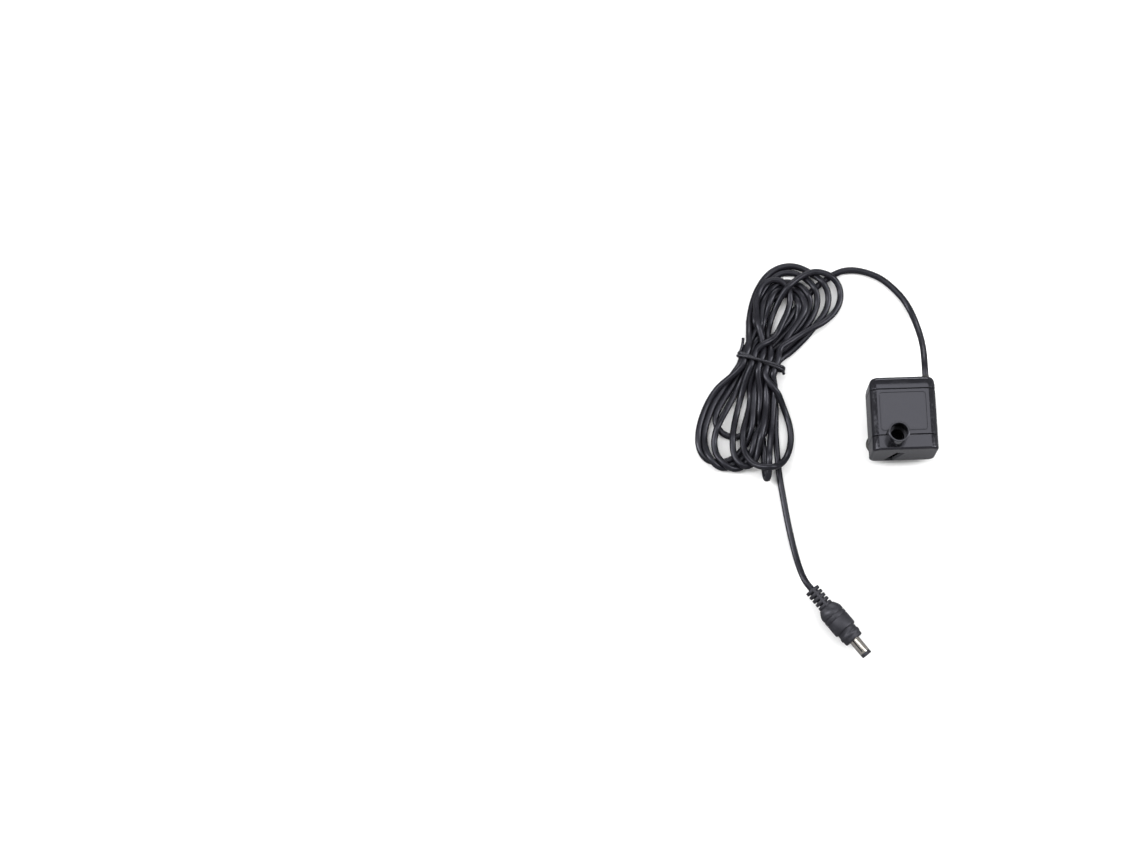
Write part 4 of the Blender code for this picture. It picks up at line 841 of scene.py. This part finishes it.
def makeCups():
    cup = cupValues
    outline = [(0, cup["seat"]), (cup["stem"], cup["seat"]), (cup["stem"], cup["shoulder"]),
               (cup["neck"], cup["shoulder"]), (cup["neck"], cup["shoulder"] - cup["neckHeight"]),
               (cup["bell"], cup["bellHeight"]), (cup["rim"], cup["rimHeight"]), (cup["rim"], 0),
               (cup["rim"] - cup["rimWidth"], 0), (cup["hollow"], cup["hollowShoulder"]),
               (0, cup["hollowTop"])]
    soft = scaled(softOutline(outline, [0, 0.25, 0.1, 0.2, 0.5, 1.2, 0.1, 0.12, 0.12, 0.8, 0], 4))
    for index, (x, y) in enumerate(cupPlaces(), 1):
        mesh = meshFrom(f"suctionCup{index}", turnedMesh(soft, 56, Matrix.Translation((x, y, 0))))
        piece = addPiece(f"suctionCup{index}", mesh, "softRubber", "pump")
        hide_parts(f"suction_cup_{index}")


def makeGland():
    low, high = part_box("cable_gland")
    x, z = (low.x + high.x) / 2, (low.z + high.z) / 2
    radius = (high.x - low.x) / 2
    outside = capHigh.y
    cordRadius = cordValues["diameter"] * mm / 2
    outline = [(0, low.y), (radius, low.y), (radius, outside),
               (radius - glandValues["taper"] * mm, outside + glandValues["collar"] * mm),
               (cordRadius + glandValues["play"] * mm, high.y), (0, high.y)]
    bm = turnedMesh(softOutline(outline, [0, 0.2 * mm, 0.1 * mm, 0.5 * mm, 0.05 * mm, 0], 4), 48,
                    alongY(x, z))
    gland = addPiece("cableGland", meshFrom("cableGland", bm), "softRubber", "pump")
    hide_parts("cable_gland")
    return gland


makeCups()
gland = makeGland()
print("cups and gland made")


# the plug; heights run from the cord side to the tip

plugValues = {
    "rear": (-49.4, -85.0, 6.3), "tip": (-23.2, -119.4, 6.3),
    "relief": 11.5, "core": 2.3, "ribs": 5, "ribPitch": 2.4, "ribWidth": 1.7, "ribRadius": 3.85, "spine": 1.6,
    "cone": 3.2, "bodyRadius": 6.1, "bodyLength": 12.0, "grooves": (2.4, 4.8), "grooveWidth": 0.45,
    "grooveDepth": 0.38, "collarRadius": 5.1, "collarLength": 6.6, "ridgeRadius": 5.5, "ridgeLength": 1.2,
    "socketDepth": 4.0, "barrelRadius": 2.75, "barrelWall": 0.45, "tipLength": 1.6, "contactBore": 1.05,
    "insulator": 2.0, "insulatorWall": 0.35, "slitWidth": 0.7, "slitStart": 3.6, "slitEnd": 1.0,
    "slitTurn": 28, "play": 0.15, "spineStart": 0.25, "spineOver": 0.6, "spineProud": 0.05, "seat": 0.3,
}


def plugPlace():
    rear, tip = Vector(plugValues["rear"]) * mm, Vector(plugValues["tip"]) * mm
    return Matrix.Translation(rear) @ (tip - rear).to_track_quat("Z", "Y").to_matrix().to_4x4()


def makeOvermould(place):
    plug = plugValues
    core, rib, width = plug["core"], plug["ribRadius"], plug["ribWidth"]
    body, collar = plug["bodyRadius"], plug["collarRadius"]
    coneEnd = plug["relief"] + plug["cone"]
    bodyEnd = coneEnd + plug["bodyLength"]
    collarEnd = bodyEnd + plug["collarLength"]
    socketFloor = collarEnd - plug["socketDepth"]
    socket = plug["barrelRadius"] + plug["play"]
    # each point: radius, height, rounding
    points = [(0, 0, 0), (core, 0, 0.2)]
    for index in range(plug["ribs"]):
        start = index * plug["ribPitch"] + plug["play"]
        points += [(core, start, 0.05), (rib, start, 0.45), (rib, start + width, 0.45),
                   (core, start + width, 0.05)]
    points += [(core, plug["relief"], 0.1), (rib + 0.4, plug["relief"], 0.5), (body, coneEnd, 1.0)]
    for groove in plug["grooves"]:
        start, floor = coneEnd + groove, body - plug["grooveDepth"]
        end = start + plug["grooveWidth"]
        points += [(body, start, 0.06), (floor, start, 0.04), (floor, end, 0.04), (body, end, 0.06)]
    ridge = bodyEnd + (plug["collarLength"] - plug["ridgeLength"]) / 2
    ridgeEnd = ridge + plug["ridgeLength"]
    points += [(body, bodyEnd - 0.5, 0.5), (body - 0.5, bodyEnd, 0.3), (collar, bodyEnd, 0.25),
               (collar, ridge - 0.5, 0.3), (plug["ridgeRadius"], ridge, 0.4),
               (plug["ridgeRadius"], ridgeEnd, 0.4), (collar, ridgeEnd + 0.5, 0.3),
               (collar, collarEnd - 0.4, 0.3), (collar - 0.4, collarEnd, 0.2),
               (socket, collarEnd, 0.2), (socket, socketFloor, 0), (0, socketFloor, 0)]
    outline = softOutline([p[:2] for p in points], [p[2] for p in points], 3)
    base = newTool("plugMoulding", turnedMesh(scaled(outline), 72))
    half = plug["spine"] / 2 * mm
    side = (rib + plug["spineProud"]) * mm
    length = (plug["relief"] + plug["spineOver"]) * mm
    spine = newTool("plugSpine", roundedBlock((-half, -side, plug["spineStart"] * mm), (half, side, length),
                                              0.3 * mm, 4, along=2))
    mesh = smoothFaces(combine(base, [(spine, "UNION")]))
    mesh.transform(place)
    moulding = addPiece("plugMoulding", mesh, "plugVinyl", "pump")
    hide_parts("plug_overmould")
    return moulding, socketFloor


def makeBarrel(place, start, length):
    plug = plugValues
    end = length - plug["tipLength"] - 0.05
    outer, inner = plug["barrelRadius"], plug["barrelRadius"] - plug["barrelWall"]
    outline = softOutline([(inner, start), (outer, start), (outer, end), (inner, end), (inner, start)],
                          [0, 0.1, 0.12, 0.08, 0], 3)[:-1]
    base = newTool("plugBarrel", turnedMesh(scaled(outline), 72, closed=True))
    half = plug["slitWidth"] / 2 * mm
    slitLow = (-half, 0, (start + plug["slitStart"]) * mm)
    slitHigh = (half, (outer + 0.5) * mm, (end - plug["slitEnd"]) * mm)
    slit = newTool("barrelSlit", roundedBlock(slitLow, slitHigh, 0.3 * mm, 5, along=1))
    slit.data.transform(Matrix.Rotation(math.radians(plug["slitTurn"]), 4, "Z"))
    mesh = smoothFaces(combine(base, [(slit, "DIFFERENCE")]))
    mesh.transform(place)
    barrel = addPiece("plugBarrel", mesh, "plugNickel", "pump")
    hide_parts("plug_barrel")
    return barrel


def makeInsulator(place, start, length):
    plug = plugValues
    tip = length - plug["tipLength"]
    ring, outer = plug["barrelRadius"], plug["insulator"]
    inner = outer - plug["insulatorWall"]
    bore = plug["contactBore"]
    outline = softOutline([(ring, length), (ring, tip), (outer, tip), (outer, start), (inner, start),
                           (inner, tip), (bore, tip), (bore, length), (ring, length)],
                          [0, 0.08, 0, 0.05, 0.05, 0, 0.05, 0.3, 0], 3)[:-1]
    bm = turnedMesh(scaled(outline), 56, place, closed=True)
    sleeve = addPiece("plugSleeve", meshFrom("plugSleeve", bm), "plugVinyl", "pump")
    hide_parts("plug_insulator")
    return sleeve


def makePlug():
    place = plugPlace()
    length = (Vector(plugValues["tip"]) - Vector(plugValues["rear"])).length
    moulding, floor = makeOvermould(place)
    seat = floor + plugValues["seat"]
    return [moulding, makeBarrel(place, seat, length), makeInsulator(place, seat, length)]


plugPieces = makePlug()
print("plug made")


# inner pieces that keep their shape and only get a finish

keptFinishes = {
    "intake_plate": "plugVinyl", "chamber_seal": "softRubber", "front_shaft_holder": "softRubber",
    "rear_shaft_holder": "softRubber", "rotor_shaft": "groundSteel", "front_thrust_washer": "groundSteel",
    "rear_thrust_washer": "groundSteel", "impeller": "plugVinyl", "rotor_magnet": "ferriteGrey",
    "stator_core": "ferriteGrey", "driver_board": "boardGreen", "driver_chip": "plugVinyl",
    "hall_sensor": "plugVinyl", "capacitor": "groundSteel", "potting_resin": "blackResin",
    "lead_positive": "redSleeve", "lead_negative": "plugVinyl", "plug_contact": "plugNickel",
}


def dressNode(name, material):
    mesh = nodes[name].data
    mesh.materials.clear()
    mesh.materials.append(material)


for name, finish in keptFinishes.items():
    dressNode(name, materials[finish])
windingUpright = makeWinding("windingUpright", "X")
windingFlat = makeWinding("windingFlat", "Z")
for index in range(1, 5):
    dressNode(f"coil_{index}", windingUpright if index % 2 else windingFlat)
print("inner pieces dressed")


# floor, lights and world

stageValues = {
    "aim": (-0.03, 0, 0),   # where the lights point
    "floor": (0.95, 0.95, 0.95), "paintedReflection": (0.19, 0.19, 0.20), "size": 6.0, "world": 0.42,
    "top": {"place": (0.0, 0.28, 1.65), "size": (1.5, 0.78), "power": 8.8},
    "left": {"place": (-1.25, 0.1, 0.95), "size": (0.3, 1.6), "power": 24},
    "right": {"place": (1.25, 0.1, 0.95), "size": (0.3, 1.6), "power": 24},
    "front": {"place": (0.0, -1.7, 0.9), "size": (1.6, 0.3), "power": 2},
    "back": {"place": (0.0, 1.8, 0.6), "size": (1.6, 0.3), "power": 15},
}


def makeFloor():
    bm = bmesh.new()
    bmesh.ops.create_grid(bm, x_segments=2, y_segments=2, size=stageValues["size"])
    mesh = bpy.data.meshes.new("floor")
    bm.to_mesh(mesh)
    bm.free()
    floor = bpy.data.objects.new("floor", mesh)
    bpy.context.scene.collection.objects.link(floor)
    material = bpy.data.materials.new("floor")
    material.use_nodes = True
    tree = material.node_tree
    shader = tree.nodes["Principled BSDF"]
    shader.inputs["Roughness"].default_value = 0.8
    # painted reflection: the floor shows pale to the camera but darker in the gloss that mirrors it
    path = addNode(tree, "ShaderNodeLightPath")
    shade = addNode(tree, "ShaderNodeMix", data_type="RGBA")
    shade.inputs[6].default_value = (*stageValues["floor"], 1)
    shade.inputs[7].default_value = (*stageValues["paintedReflection"], 1)
    tree.links.new(path.outputs["Is Glossy Ray"], shade.inputs[0])
    tree.links.new(shade.outputs[2], shader.inputs["Base Color"])
    mesh.materials.append(material)


def makeLight(name):
    values = stageValues[name]
    data = bpy.data.lights.new(name, "AREA")
    data.shape = "RECTANGLE"
    data.size, data.size_y = values["size"]
    data.energy = values["power"]
    light = bpy.data.objects.new(name, data)
    bpy.context.scene.collection.objects.link(light)
    light.location = values["place"]
    towards = Vector(stageValues["aim"]) - Vector(values["place"])
    light.rotation_euler = towards.to_track_quat("-Z", "Y").to_euler()


def makeWorld():
    world = bpy.data.worlds.new("studio")
    world.use_nodes = True
    back = world.node_tree.nodes["Background"]
    back.inputs["Color"].default_value = (1, 1, 1, 1)
    back.inputs["Strength"].default_value = stageValues["world"]
    bpy.context.scene.world = world
    bpy.context.scene.view_settings.view_transform = "Standard"


makeFloor()
for name in ("top", "left", "right", "front", "back"):
    makeLight(name)
makeWorld()
print("floor and lights ready")
